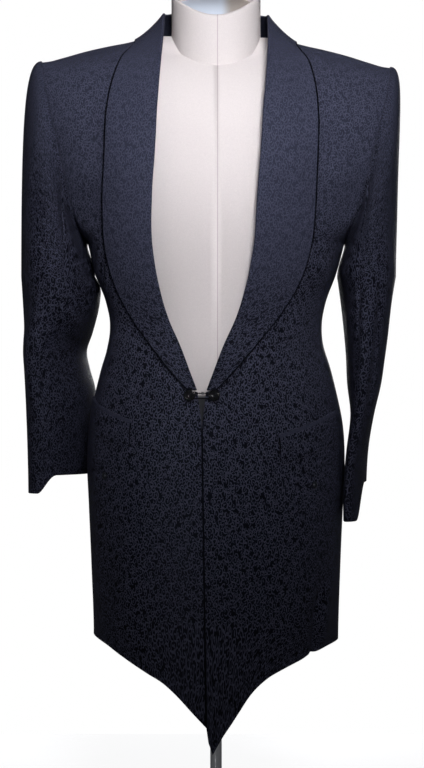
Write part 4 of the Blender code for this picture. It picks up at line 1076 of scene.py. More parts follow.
# %% Sleeve sections
SLEEVE_COLUMNS = ("height", "out", "back", "deep", "wide", "turn")
SLEEVES = {
    "right": (
        (0.4000, 0.2028, 0.0345, 0.0600, 0.0285, 31.0),
        (0.4547, 0.2022, 0.0340, 0.0625, 0.0290, 31.0),
        (0.5067, 0.2026, 0.0325, 0.0650, 0.0300, 30.0),
        (0.5560, 0.2045, 0.0300, 0.0675, 0.0298, 29.0),
        (0.5800, 0.2083, 0.0285, 0.0685, 0.0273, 26.0),
        (0.6040, 0.2108, 0.0265, 0.0695, 0.0289, 22.0),
        (0.6280, 0.2068, 0.0245, 0.0705, 0.0369, 19.0),
        (0.6700, 0.2019, 0.0165, 0.0715, 0.0472, 10.0),
        (0.6850, 0.2018, 0.0130, 0.0720, 0.0488, 6.0),
        (0.7000, 0.2057, 0.0110, 0.0725, 0.0461, 3.0),
    ),
    "left": (
        (0.3700, 0.1830, 0.0230, 0.0590, 0.0102, -11.0),
        (0.4300, 0.1834, 0.0220, 0.0610, 0.0102, -11.0),
        (0.4740, 0.1862, 0.0215, 0.0625, 0.0110, -9.0),
        (0.5236, 0.1920, 0.0205, 0.0645, 0.0142, -6.0),
        (0.5600, 0.1940, 0.0190, 0.0660, 0.0206, -4.0),
        (0.6000, 0.1957, 0.0180, 0.0680, 0.0242, -2.0),
        (0.6400, 0.1965, 0.0170, 0.0695, 0.0285, 0.0),
        (0.6760, 0.1970, 0.0160, 0.0710, 0.0330, 2.0),
        (0.7000, 0.1970, 0.0130, 0.0720, 0.0366, 2.0),
    ),
}
SLEEVE_BREAK, SLEEVE_RADIUS, SLEEVE_NUDGE, CAP_CURVE, WRAP = 0.700, 0.055, 0.004, 1.5, 120
CAP_LIFT, CAP_OUT, CAP_AHEAD, CAP_UP, CAP_DOWN, CAP_FALL = 0.021, 0.45, -0.22, 0.06, -0.70, (0.40, 0.32)
CUFF_HEIGHT = {"right": 0.4425, "left": 0.4320}
CUFF_DROP = {"right": 0.0235, "left": 0.0482}
# Angles where the drop begins, is full, eases and ends, from the outside over the front, in degrees
CUFF_FALL = {"right": (-30, 20, 98, 136), "left": (4, 50, 110, 230)}
FOREARM_SEAM, HINDARM_SEAM = 112.0, 238.0


def sleeve_ring(side, height, phi):
    sizes = (curve(SLEEVES[side], SLEEVE_COLUMNS, name, height) for name in SLEEVE_COLUMNS[1:])
    out, behind, deep, wide, turn = sizes
    turn = np.radians(turn)
    ahead, outward = deep * np.sin(phi), wide * np.cos(phi)
    x = out + ahead * np.sin(turn) + outward * np.cos(turn)
    y = behind - ahead * np.cos(turn) + outward * np.sin(turn)
    return np.stack(np.broadcast_arrays(x, y, height), axis=-1)


def armhole_level(phi):
    return 1 + (math.pi - np.where(phi > math.pi, 2 * math.pi - phi, phi)) / math.pi


def armhole(phi):
    ahead, behind = (body(armhole_level(phi), 1.0, face) for face in (-1, 1))
    return np.where((phi > math.pi)[..., None], behind, ahead)


def sleeve(side, share, phi):
    share, phi = np.broadcast_arrays(np.asarray(share, float), np.asarray(phi, float))
    top = (1 + np.cos(phi)) / 2
    start = armhole(phi) + ARMHOLE_AXIS * ARMHOLE_SEAM
    end = sleeve_ring(side, np.full(phi.shape, SLEEVE_BREAK), phi)
    span = np.linalg.norm(end - start, axis=-1)
    outwards, ahead = CAP_OUT + (1 - CAP_OUT) * top**0.5, CAP_AHEAD * np.sin(phi)
    upwards = CAP_UP * top + CAP_DOWN * (1 - top) ** CAP_CURVE
    lead = unit(np.stack([outwards, ahead, upwards], axis=-1))
    first = start + lead * (CAP_LIFT * (CAP_OUT + (1 - CAP_OUT) * top))[..., None]
    fall = span * (CAP_FALL[0] + CAP_FALL[1] * top)
    second = end + np.stack([np.zeros_like(fall), np.zeros_like(fall), fall], axis=-1)
    f = np.clip(share + 1, 0, 1)[..., None]
    cap = (1 - f) ** 3 * start + 3 * f * (1 - f) ** 2 * first + 3 * f**2 * (1 - f) * second + f**3 * end
    begins, full, eases, ends = CUFF_FALL[side]
    place = (np.degrees(phi) + WRAP) % 360 - WRAP
    fall = smooth((place - begins) / (full - begins)) * (1 - smooth((place - eases) / (ends - eases)))
    cuff = CUFF_HEIGHT[side] - CUFF_DROP[side] * fall
    height = SLEEVE_BREAK + (cuff - SLEEVE_BREAK) * np.clip(share, 0, 1)
    return np.where((share > 0)[..., None], sleeve_ring(side, height, phi), cap)


def sleeve_normal(side, share, phi):
    d = SLEEVE_NUDGE
    down = sleeve(side, np.clip(share + d, -1, 1), phi) - sleeve(side, np.clip(share - d, -1, 1), phi)
    around = sleeve(side, share, phi + d) - sleeve(side, share, phi - d)
    return unit(np.cross(down, around))


print("cuffs hang at", CUFF_HEIGHT)


# %% [markdown]
# The creases of a sleeve are placed by the angle round it, in degrees from the outside towards the front,
# and by height. The rest of each row is as in the fronts' tables. Drags run down from the armhole, and
# short ones cross at the inside of the elbow.

# %% Sleeve creases
SLEEVE_CREASES = {
    "right": (
        (60, 0.860, 14, 0.160, 0.0140, -0.0022),
        (100, 0.780, -24, 0.170, 0.0150, -0.0026),
        (130, 0.650, -52, 0.090, 0.0100, -0.0030),
        (150, 0.618, -64, 0.080, 0.0090, 0.0022),
        (118, 0.590, -40, 0.110, 0.0110, -0.0022),
        (40, 0.640, 28, 0.130, 0.0160, 0.0016),
        (20, 0.560, 10, 0.160, 0.0160, -0.0018),
        (80, 0.520, -12, 0.130, 0.0140, 0.0018),
        (-60, 0.800, -18, 0.180, 0.0150, -0.0024),
        (-90, 0.640, 40, 0.090, 0.0110, -0.0026),
        (-70, 0.560, -14, 0.150, 0.0150, 0.0018),
    ),
    "left": (
        (62, 0.850, -12, 0.150, 0.0140, -0.0022),
        (96, 0.770, 22, 0.170, 0.0140, -0.0024),
        (70, 0.640, 6, 0.240, 0.0100, 0.0030),
        (100, 0.610, 12, 0.200, 0.0090, -0.0026),
        (120, 0.660, -44, 0.080, 0.0100, -0.0022),
        (40, 0.560, -8, 0.170, 0.0140, -0.0016),
        (20, 0.700, 16, 0.150, 0.0160, 0.0014),
        (-60, 0.790, 18, 0.180, 0.0150, -0.0024),
        (-96, 0.640, -36, 0.090, 0.0110, -0.0024),
        (-80, 0.550, 12, 0.150, 0.0150, 0.0018),
    ),
}
CAP_ROWS, ARM_ROWS, TOP_COLUMNS, UNDER_COLUMNS = 46, 66, 66, 36
SLEEVE_GRAIN, CAP_CALM, CUFF_CALM, SEAM_CALM, ARM_LAST = (0.17, 0.05), 0.25, 0.06, 0.06, 0.992


def sleeve_piece(side, name, first, last, columns):
    gap = math.degrees(SEAM / 2 / SLEEVE_RADIUS)
    degrees = first + gap + (last - first - 2 * gap) * fine_shares(columns)
    phi = np.radians(degrees) % (2 * math.pi)
    cap, arm = -1 + np.linspace(0, 1, CAP_ROWS) ** CAP_CURVE, np.linspace(0, ARM_LAST, ARM_ROWS)[1:]
    rows = np.concatenate([cap, arm, [1.0]])
    share, angle = np.meshgrid(rows, phi, indexing="ij")
    outer = sleeve(side, share, angle)
    normal = sleeve_normal(side, share, angle)
    ahead, behind = (armhole_normal(armhole_level(phi), face) for face in (-1, 1))
    normal[0] = np.where((phi > math.pi)[:, None], behind, ahead)
    placed = tuple((SLEEVE_RADIUS * math.radians(a), *rest) for a, *rest in SLEEVE_CREASES[side])
    turned = (degrees + 180) % 360 - 180
    lift = relief(placed, SLEEVE_RADIUS * np.radians(turned)[None], outer[..., 2])
    calm = smooth((share + 1) / CAP_CALM) * smooth((1 - share) / CUFF_CALM)
    calm = calm * edge_fade(columns, SEAM_CALM)[None]
    outer = outer + normal * (lift * calm)[..., None]
    return hang(name, side, outer, outer - normal * PANEL, SLEEVE_GRAIN, "shaded_sleeve_jacquard")


TOP_PIECE = ("sleeve_top", HINDARM_SEAM - 360, FOREARM_SEAM, TOP_COLUMNS)
UNDER_PIECE = ("sleeve_under", FOREARM_SEAM, HINDARM_SEAM, UNDER_COLUMNS)
top_sleeves = {side: sleeve_piece(side, *TOP_PIECE) for side in SIDES}
under_sleeves = {side: sleeve_piece(side, *UNDER_PIECE) for side in SIDES}
print("sleeve triangles", {s: 2 * len(o.data.polygons) for s, o in top_sleeves.items()})

# %% [markdown]
# ## Pocket flaps
#
# Each flap is a small piece sewn on along its top edge. The seam makes a thin raised line there, and the
# flap's inner end stands off a little. The line's pale highlight and the short dark slit are painted into
# the flap's colour, as painted highlight and painted shade.

# %% Flaps
FLAP_INNER, FLAP_LENGTH, FLAP_DEPTH, FLAP_RISE, FLAP_CORNER = 0.0915, 0.100, 0.038, 0.30, 0.008
FLAP_TOP = {"right": 0.5140, "left": 0.4960}
FLAP_COLUMNS, FLAP_ROWS, FLAP_STATIONS, FLAP_END_STEP, FLAP_TOP_STEP = 48, 22, 200, 0.0006, 0.02
FLAP_LIFT, FLAP_LIFT_RUN, FLAP_LOOSENS, FLAP_RIDGE, FLAP_RIDGE_AT = 0.0022, 0.016, 1.6, 0.0008, 0.06
FLAP_THINS, FLAP_THINS_FROM, FLAP_SETTLES, FLAP_SETTLES_FROM = 0.0009, 0.4, 0.7, 0.3


def flap(side):
    along = np.concatenate([[0.0], np.linspace(FLAP_END_STEP, FLAP_LENGTH, FLAP_COLUMNS - 1)])
    level_top = level_of(FLAP_TOP[side])
    start_turn = float(turn_at(np.array(level_top), FLAP_INNER, -1))
    fine = np.linspace(start_turn, 1, FLAP_STATIONS)
    walked = metres_along(body(level_top, fine, -1)[None], 1)[0]
    turn = np.interp(along, walked, fine)
    top = FLAP_TOP[side] + FLAP_RISE * along
    corner = np.clip(1 - along / FLAP_CORNER, 0, 1)
    bottom = top - FLAP_DEPTH + FLAP_CORNER * (1 - np.sqrt(1 - corner**2))
    share = np.concatenate([[0.0], np.linspace(FLAP_TOP_STEP, 1, FLAP_ROWS - 1)])[:, None]
    level = level_of(top + (bottom - top) * share)
    turn = np.repeat(turn[None], FLAP_ROWS, axis=0)
    surface, normal = body(level, turn, -1), body_normal(level, turn, -1)
    loose = FLAP_LIFT * np.exp(-along / FLAP_LIFT_RUN) * smooth(share * FLAP_LOOSENS)
    ridge = FLAP_RIDGE * np.exp(-(((share - FLAP_RIDGE_AT) / FLAP_RIDGE_AT) ** 2))
    ridge = ridge - FLAP_THINS * smooth((share - FLAP_THINS_FROM) / (1 - FLAP_THINS_FROM))
    lay = LAY * (1 - FLAP_SETTLES * smooth((share - FLAP_SETTLES_FROM) / (1 - FLAP_SETTLES_FROM))) + loose
    outer = surface + normal * (lay + FLAP + ridge)[..., None]
    inner = surface + normal * lay[..., None]
    from_inner_end = metres_along(swing(outer, side), 1)[:, -1:] / 2 + FLAP_GRAIN[0]
    return hang("flap", side, outer, inner, (from_inner_end, FLAP_GRAIN[1]), "flap_jacquard", "pocket_flap")


flaps = {side: flap(side) for side in SIDES}
print("flap triangles", {s: 2 * len(o.data.polygons) for s, o in flaps.items()})

# %% [markdown]
# ## What each piece of cloth was cut from
#
# For every sheet the script prints the size of the flat piece it was cut from. It measures the outer
# face of each wall for the area, and takes the longest run along and across it for the rectangle.


WITHOUT_RIM, SPARE_LENGTH = 0.98, 1.01


def declare(made):
    mesh = made.data
    uv = np.empty(2 * len(mesh.loops), dtype=np.float32)
    mesh.uv_layers["metres"].data.foreach_get("uv", uv)
    uv = uv.reshape(-1, 2)
    width, length = (float(v) for v in uv.max(axis=0) - uv.min(axis=0))
    area = sum(p.area for p in mesh.polygons) / 2 * WITHOUT_RIM
    length = max(length, area / width * SPARE_LENGTH)
    print(made.name, "cut", round(width, 3), "x", round(length, 3), "area", round(area, 4))


for side in SIDES:
    declare(fronts[side])
    declare(backs[side])
    for pieces in (collars, top_sleeves, under_sleeves):
        declare(pieces[side])
    declare(flaps[side])

# %% [markdown]
# ## Turned solids for the buttons and the stand
#
# Buttons, the pole and the base are all turned shapes: one profile swept round an axis. A small helper
# makes them with rounded steps, finer than the solids they stand for.


# %% Turning
CORNER_SHARE = 0.49


def turned(node, profile, segments, finish, point=(0, 0, 0), normal=(0, 0, 1), slot=None):
    towards = Vector(normal).normalized().to_track_quat("Z", "Y")
    angles = 2 * math.pi * np.arange(segments) / segments
    points = [Vector((0, 0, profile[0][1]))]
    for radius, height in profile[1:-1]:
        points += [Vector((radius * math.cos(a), radius * math.sin(a), height)) for a in angles]
    points.append(Vector((0, 0, profile[-1][1])))
    last = len(points) - 1
    faces = []
    for k in range(segments):
        n = (k + 1) % segments
        faces.append((0, 1 + n, 1 + k))
        for r in range(len(profile) - 3):
            low, high = 1 + r * segments, 1 + (r + 1) * segments
            faces.append((low + k, low + n, high + n, high + k))
        top = 1 + (len(profile) - 3) * segments
        faces.append((top + k, top + n, last))
    placed = [Vector(point) + towards @ p for p in points]
    return own(finish_piece(f"{node}_fine", placed, faces, finish), node)


def rounded(corners, steps=5):
    """A profile of (radius, height, rounding) corners with each corner made round."""
    points = [corners[0][:2]]
    for before, here, after in zip(corners, corners[1:], corners[2:]):
        b, h, a = (np.array(c[:2], float) for c in (before, here, after))
        to_b, to_a = b - h, a - h
        cut = min(here[2], np.linalg.norm(to_b) * CORNER_SHARE, np.linalg.norm(to_a) * CORNER_SHARE)
        if cut <= 0:
            points.append(tuple(h))
            continue
        start, end = h + unit(to_b) * cut, h + unit(to_a) * cut
        for f in np.linspace(0, 1, steps):
            points.append(tuple((1 - f) ** 2 * start + 2 * f * (1 - f) * h + f**2 * end))
    points.append(corners[-1][:2])
    return points


print("a rounded square corner", len(rounded([(0, 0, 0), (1, 0, 0.1), (1, 1, 0)])), "points")

# %% [markdown]
# ## Hard finishes
#
# The buttons are polished black resin. The clasp is bright metal, the stand is brushed steel, and the
# form wears a cream cover of matt cloth. Each has its own fine unevenness, because a perfectly even
# surface looks unreal.


# %% Hard and matt materials
FLECK_DETAIL, DARKER, LIGHTER = 4.0, 0.88, 1.08


def worn(name, colour, roughness, metallic, scale, spread, bump_size=0.0, stretch=(1, 1, 1)):
    tree, shader = plain_material(name)
    where = mapped(tree, add_node(tree, "ShaderNodeTexCoord").outputs["Object"], stretch=stretch)
    flecks = noise(tree, where, scale, FLECK_DETAIL, "3D")["Fac"]
    darker, lighter = (tuple(min(1, c * k) for c in colour) + (1,) for k in (DARKER, LIGHTER))
    dress(
        tree,
        shader,
        Base_Color=mixed(tree, flecks, darker, lighter),
        Roughness=maths(tree, "MULTIPLY_ADD", flecks, spread, roughness - spread / 2),
        Metallic=metallic,
        Normal=bumped(tree, flecks, bump_size) if bump_size else None,
    )
    return tree, shader


# Name, colour, roughness, metal, scale of the flecks, spread of roughness, bump in metres, stretch
dress(*worn("black_button", (0.004, 0.004, 0.005), 0.10, 0.0, 900, 0.05), Coat_Weight=0.5)
dress(*worn("black_cord", (0.006, 0.006, 0.008), 0.80, 0.0, 2500, 0.20, 0.00008), Specular_IOR_Level=0.15)
worn("stud_shine", (0.045, 0.048, 0.058), 0.30, 0.8, 900, 0.10)
worn("bright_metal", (0.78, 0.77, 0.75), 0.20, 1.0, 1200, 0.12)
worn("stand_metal", (0.74, 0.74, 0.75), 0.34, 0.6, 160, 0.14, 0.00002, (1, 1, 9))
worn("cap_board", (0.38, 0.32, 0.28), 0.78, 0.0, 260, 0.16, 0.0001)
worn("form_cover", (0.57, 0.505, 0.485), 0.82, 0.0, 700, 0.10, 0.00008)
print("finishes", list(finishes))

# %% [markdown]
# The form's cover has a darker seam line down its middle, and from the link down it is painted dark grey as
# painted shade where it shows between the fronts. The board in the neck is paler on one side. Each is a
# plain colour mixed in by the distance from a place.


# %% Parts in another colour
def split_by(name, axis, middle, low, high, colour):
    """Keeps a plain colour up to a distance along an axis from a place, and fades to the finish."""
    tree = finishes[name].node_tree
    base = tree.nodes["Principled BSDF"].inputs["Base Color"]
    away = maths(tree, "ABSOLUTE", maths(tree, "SUBTRACT", split(tree)[axis], middle))
    feed(tree, base, mixed(tree, step_between(tree, away, low, high), colour, base.links[0].from_socket))


# Finish, axis, place, distances where the colour starts to fade and is gone, colour
split_by("form_cover", "X", 0.0018, 0.0003, 0.0009, (0.40, 0.33, 0.325, 1))
# Painted shade: dark grey on the form's cover from the link down
split_by("form_cover", "Z", 0.4700, 0.0730, 0.0790, (0.050, 0.050, 0.054, 1))
split_by("cap_board", "X", -0.0350, 0.0400, 0.0560, (0.60, 0.63, 0.70, 1))
print("cover", len(finishes["form_cover"].node_tree.nodes), "nodes")

# %% [markdown]
# ## The link: two buttons, a cord and a clasp
#
# The fronts are held by a pair of domed buttons joined by a loop of cord. Each button has a rim and a
# raised dome, so that the lamp draws two curved highlights on it. The cord is two strands twisted
# together, which is done by winding two tubes round the cord's path.

# %% Places on a front
LINK_BUTTON_RADIUS, LINK_BUTTON_OUT, LINK_BUTTON_HEIGHT = 0.0075, 0.0150, 0.5450
LINK_BUTTON_DOME, SHANK_RADIUS, SHANK_HEIGHT, SHANK_ROUND = 0.0042, 0.0017, 0.0034, 0.0002
CORD_RADIUS, CORD_HEIGHT, CORD_LOOP = 0.0009, 0.0020, 0.0032
FRONT_NUDGE = 0.004


def on_front(side, x, height):
    level = np.array(level_of(height))
    turn = turn_at(level, x, -1)
    point = swing(body(level, turn, -1), side)
    up = swing(body(level + FRONT_NUDGE, turn, -1), side) - point
    along = swing(body(level, turn + FRONT_NUDGE, -1), side) - point
    return point, unit(np.cross(along, up) * SIDES[side])


def button_profile(radius, thick, shank, foot, shape):
    """Each corner of the shape is given in shares: out of the radius, up the thickness, and its rounding."""
    corners = [(0, 0, 0), (shank, 0, SHANK_ROUND), (shank, foot, SHANK_ROUND)]
    return rounded(corners + [(radius * out, foot + thick * up, radius * soft) for out, up, soft in shape])


print("link buttons", 2 * LINK_BUTTON_RADIUS, "m wide")

# %% [markdown]
# A button's profile is noted in shares of its own radius and thickness, from its rim to its middle. The
# place behind each button where the cord lies is kept for the next step.

# %% Link buttons
LINK_SEGMENTS = 48
DOMED = (
    (0.86, 0, 0.10),
    (1, 0.42, 0.10),
    (0.90, 0.80, 0.06),
    (0.70, 0.66, 0.05),
    (0.40, 1.02, 0.20),
    (0, 1.04, 0),
)
ends = {}
for side in SIDES:
    point, normal = on_front(side, LINK_BUTTON_OUT, LINK_BUTTON_HEIGHT)
    profile = button_profile(LINK_BUTTON_RADIUS, LINK_BUTTON_DOME, SHANK_RADIUS, SHANK_HEIGHT, DOMED)
    place = point + normal * SEAM
    turned(f"link_button_{side}", profile, LINK_SEGMENTS, "black_button", place, normal)
    ends[side] = point + normal * CORD_HEIGHT
print("link buttons at", {side: [round(float(v), 4) for v in end] for side, end in ends.items()})

# %% [markdown]
# The cord runs in one closed loop from behind one button to behind the other. A tube is a ring of points
# carried along a path, with each ring joined to the next.


# %% Tubes
TUBE_UPRIGHT = np.array([0.03, -1.0, 0.02])


def tube_along(points, radius, sides, closed):
    """Vertices and faces of a round tube along a path."""
    path = np.array(points, float)
    ahead = np.roll(path, -1, axis=0) - np.roll(path, 1, axis=0) if closed else np.gradient(path, axis=0)
    ahead = unit(ahead)
    aside = unit(np.cross(ahead, TUBE_UPRIGHT))
    over = np.cross(ahead, aside)
    angles = (2 * math.pi * np.arange(sides) / sides)[None, :, None]
    rings = path[:, None] + radius * (np.cos(angles) * aside[:, None] + np.sin(angles) * over[:, None])
    count = len(path)
    faces = []
    for r in range(count if closed else count - 1):
        low, high = r * sides, (r + 1) % count * sides
        for k in range(sides):
            n = (k + 1) % sides
            faces.append((low + k, low + n, high + n, high + k))
    if not closed:
        faces += [tuple(range(sides))[::-1], tuple((count - 1) * sides + k for k in range(sides))]
    return rings.reshape(-1, 3), faces


def tubes(name, paths, radius, sides, closed, node=None):
    """One piece made of several tubes."""
    points, faces = [], []
    for path in paths:
        more, more_faces = tube_along(path, radius, sides, closed)
        faces += [tuple(v + len(points) for v in face) for face in more_faces]
        points += list(more)
    return own(finish_piece(name, points, faces, "black_cord"), node)


print("tubes stand upright on", TUBE_UPRIGHT)

# %% [markdown]
# The path is two half turns behind the buttons with straight runs between them. The strands wind round it
# half a turn apart, as in a laid cord.

# %% Cord
STRAND, TWISTS, CORD_STATIONS, TURN_POINTS, CORD_SIDES = CORD_RADIUS * 0.56, 34, 260, 15, 8
loop = []
for end, first in ((ends["left"], 90), (ends["right"], 270)):
    for a in np.radians(first - 180 * np.arange(TURN_POINTS) / (TURN_POINTS - 1)):
        loop.append(end + np.array([math.cos(a), 0, math.sin(a)]) * CORD_LOOP)
loop = np.array(loop + loop[:1])
lengths = metres_along(loop, 0)
stations = np.linspace(0, lengths[-1], CORD_STATIONS, endpoint=False)
cord_path = np.stack([np.interp(stations, lengths, loop[:, k]) for k in range(3)], axis=1)
tangent = unit(np.roll(cord_path, -1, axis=0) - np.roll(cord_path, 1, axis=0))
beside = unit(np.cross(tangent, np.array([0.0, -1.0, 0.0])))
above = np.cross(tangent, beside)
strands = []
for start in (0.0, math.pi):
    phase = (start + 2 * math.pi * TWISTS * stations / lengths[-1])[:, None]
    strands.append(cord_path + (np.cos(phase) * beside + np.sin(phase) * above) * (CORD_RADIUS - STRAND))
tubes("link_cord_twisted", strands, STRAND, CORD_SIDES, True, "link_cord")
print("cord loop", round(float(lengths[-1]), 4), "m")
clasp_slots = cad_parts["link_clasp"].data.materials
clasp_slots.clear()
clasp_slots.append(finishes["bright_metal"])

# %% [markdown]
# ## Cuff buttons and studs
#
# Four buttons sit close together along each cuff. They are flat, with a raised rim, and two bars of
# thread sew each one on. A low flat button throws back less light than a dome, so these stay quiet.

# %% Cuff buttons
CUFF_BUTTON_RADIUS, CUFF_BUTTON_DOME, CUFF_SHANK_RADIUS, CUFF_SHANK_HEIGHT = 0.0070, 0.0024, 0.0030, 0.0009
CUFF_BUTTONS, CUFF_BUTTON_PITCH, CUFF_BUTTON_TURN = 4, 0.0155, math.radians(318.0)
CUFF_BUTTON_LOWEST, CUFF_NUDGE = {"right": 0.4560, "left": 0.4420}, 0.01
STITCH_POINTS, STITCH_ASIDE, STITCH_REACH, STITCH_RADIUS, STITCH_SIDES = 7, 0.0011, 0.0012, 0.00035, 6
STITCH_FOOT, STITCH_ARCH, SMALL_SEGMENTS = 0.60, 0.30, 36
RIMMED = ((0.86, 0, 0.08), (1, 0.4, 0.10), (0.90, 1, 0.09), (0.66, 0.62, 0.08), (0, 0.56, 0))


def cuff_button(side, number):
    height = CUFF_BUTTON_LOWEST[side] + CUFF_BUTTON_PITCH * number
    phi = np.array(CUFF_BUTTON_TURN)
    point = swing(sleeve_ring(side, np.array(height), phi), side)
    up = swing(sleeve_ring(side, np.array(height + CUFF_NUDGE), phi), side) - point
    along = swing(sleeve_ring(side, np.array(height), phi + CUFF_NUDGE), side) - point
    normal = unit(np.cross(along, up)) * SIDES[side]
    base, thick = CUFF_SHANK_HEIGHT, CUFF_BUTTON_DOME
    profile = button_profile(CUFF_BUTTON_RADIUS, thick, CUFF_SHANK_RADIUS, base, RIMMED)
    foot = point + normal * BUTTON_GAP
    turned(f"cuff_button_{side}_{number + 1}", profile, SMALL_SEGMENTS, "black_button", foot, normal)
    across, over = unit(along), unit(up)
    stitches = []
    for sign in (-1, 1):
        bar = []
        for f in np.linspace(-1, 1, STITCH_POINTS):
            rise = base + thick * (STITCH_FOOT + STITCH_ARCH * (1 - f * f))
            bar.append(foot + across * sign * STITCH_ASIDE + over * f * STITCH_REACH + normal * rise)
        stitches.append(bar)
    tubes(f"cuff_thread_{side}_{number + 1}", stitches, STITCH_RADIUS, STITCH_SIDES, False)


for side in SIDES:
    for number in range(CUFF_BUTTONS):
        cuff_button(side, number)
print("cuff buttons", 2 * CUFF_BUTTONS)

# %% [markdown]
# Two small studs lie low on the skirt. They are pressed on, so they have no shank and no thread.

# %% Studs
STUD_RADIUS, STUD_HEIGHT = 0.0045, 0.0026
STUDS = {"right": (0.1310, 0.4440), "left": (0.1340, 0.4320)}
for side, (x, height) in STUDS.items():
    point, normal = on_front(side, x, height)
    profile = rounded(
        [
            (0, 0, 0),
            (STUD_RADIUS, 0, 0.0002),
            (STUD_RADIUS, STUD_HEIGHT * 0.35, 0.0005),
            (STUD_RADIUS * 0.72, STUD_HEIGHT * 0.55, 0.0004),
            (STUD_RADIUS * 0.55, STUD_HEIGHT, 0.0009),
            (0, STUD_HEIGHT, 0),
        ]
    )
    place = point + normal * SEAM
    turned(f"skirt_stud_{side}", profile, SMALL_SEGMENTS, "stud_shine", place, normal, "black_button")
print("studs", list(STUDS))

# %% [markdown]
# ## The dress form and its stand
#
# The form is a plain padded bust with no limbs, covered in cream cloth. Only its neck and a little of the
# chest show. The same sections give its shape, set in from the coat. The neck's rim slants back, and a
# board closes it.

# %% Form
FORM_CLEARANCE, FORM_REST, FORM_END = {-1: 0.0160, 1: 0.0080}, 0.0007, 0.955
FORM_BOTTOM, FORM_TOP, FORM_RIDGE_LEVEL, FORM_CLOSES = 0.405, 1.0145, 1.99, (1.84, 1.96)
NECK_HALF_WIDTH, NECK_HALF_DEPTH, NECK_Y, NECK_FOOT = 0.0580, 0.0560, 0.005, 0.960
RIM_FRONT, RIM_SLOPE, RIM_DIP, RIM_WALL, RIM_DEPTH, CAP_THICK = 1.030, 0.45, 6.5, 0.0050, 0.0100, 0.0060
FORM_ROWS, FORM_COLUMNS, NECK_SEGMENTS, ARM_PLATE_FULL = 60, 40, 96, 0.1


def torso_points():
    lower = np.linspace(level_of(FORM_BOTTOM), 1, FORM_ROWS)
    levels = np.concatenate([lower, upper_levels(FORM_ROWS, FORM_RIDGE_LEVEL)])
    turns = np.linspace(0, FORM_END, FORM_COLUMNS)
    rings = []
    for level in levels:
        close = np.clip((level - FORM_CLOSES[0]) / (FORM_CLOSES[1] - FORM_CLOSES[0]), 0, 1)
        full = np.clip((level - 1) / ARM_PLATE_FULL, 0, 1)
        ring = []
        for face, steps in ((-1, turns), (1, turns[::-1])):
            inset = PANEL + FORM_CLEARANCE[face] + (FORM_REST - FORM_CLEARANCE[face]) * close
            reach = steps * (full + (1 - full) / FORM_END)
            points = body(level, reach, face, FORM_TOP) - body_normal(level, reach, face, FORM_TOP) * inset
            points[:, 0] = np.maximum(points[:, 0], 0)
            ring.append(points)
        half = np.concatenate(ring)
        rings.append(np.concatenate([half, half[::-1] * np.array([-1, 1, 1])]))
    grid = tilt(np.array(rings))
    grid[0, :, 2] = FORM_BOTTOM
    return grid


def neck_ring(shrink, height_of):
    a = 2 * math.pi * np.arange(NECK_SEGMENTS) / NECK_SEGMENTS
    x = (NECK_HALF_WIDTH - shrink) * np.sin(a)
    y = NECK_Y - (NECK_HALF_DEPTH - shrink) * np.cos(a)
    return np.stack([x, y, height_of(x, y) + 0 * x], axis=-1)


def slant(x, y):
    return RIM_FRONT + RIM_SLOPE * (y - NECK_Y + NECK_HALF_DEPTH)


def rim(x, y):
    ahead = (NECK_Y + NECK_HALF_DEPTH - y) / (2 * NECK_HALF_DEPTH)
    return slant(x, y) + RIM_DIP * x**2 * ahead


print("neck", 2 * NECK_HALF_WIDTH, "m wide")


# %% [markdown]
# The torso and the neck are two closed shapes that meet in the coat's neck, as the real padding and neck
# block do under one cover.


# %% Build the form
def stacked(name, rings, finish, node):
    """A closed solid from rings with the same number of points, with flat ends."""
    count = len(rings[0])
    points = np.concatenate(rings)
    faces = []
    for r in range(len(rings) - 1):
        for c in range(count):
            n = (c + 1) % count
            faces.append((r * count + c, r * count + n, (r + 1) * count + n, (r + 1) * count + c))
    first, last = len(points), len(points) + 1
    points = np.concatenate([points, rings[0].mean(axis=0)[None], rings[-1].mean(axis=0)[None]])
    top = (len(rings) - 1) * count
    for c in range(count):
        n = (c + 1) % count
        faces.append((n, c, first))
        faces.append((top + c, top + n, last))
    return own(finish_piece(name, points, faces, finish), node)


def rising(f):
    """Heights a share of the way from the neck's foot to its rim."""
    return lambda x, y: NECK_FOOT + f * (rim(x, y) - NECK_FOOT)


NECK_SHARES, RIM_ROUND, RIM_SOFT, CAP_ROUND = np.linspace(0.1, 0.97, 12), (0.0004, 0.0008), 0.001, 0.0006
neck_rings = [
    neck_ring(0.0, lambda x, y: NECK_FOOT),
    *[neck_ring(0.0, rising(f)) for f in NECK_SHARES],
    neck_ring(RIM_ROUND[0], lambda x, y: rim(x, y) - RIM_ROUND[1]),
    neck_ring(RIM_ROUND[0] + RIM_SOFT, rim),
    neck_ring(RIM_WALL - RIM_SOFT, rim),
    neck_ring(RIM_WALL, lambda x, y: rim(x, y) - RIM_SOFT),
    neck_ring(RIM_WALL, lambda x, y: slant(x, y) - RIM_DEPTH),
]
cap_rings = [
    neck_ring(RIM_WALL + SEAM, lambda x, y: slant(x, y) - RIM_DEPTH + SEAM),
    neck_ring(RIM_WALL + SEAM, lambda x, y: slant(x, y) - RIM_DEPTH + CAP_THICK - CAP_ROUND),
    neck_ring(RIM_WALL + SEAM + CAP_ROUND, lambda x, y: slant(x, y) - RIM_DEPTH + CAP_THICK),
]
form = stacked("form_torso_fine", list(torso_points()), "form_cover", "form_torso")
neck = stacked("form_neck_fine", neck_rings, "form_cover", "form_torso")
cap = stacked("form_neck_cap_fine", cap_rings, "cap_board", "form_neck_cap")
print("form triangles", [2 * len(made.data.polygons) for made in (form, neck, cap)])

# %% [markdown]
# The stand is a steel pole in a hub on a round base. Only a short stretch of the pole can be seen under
# the coat, so all three are kept plain.

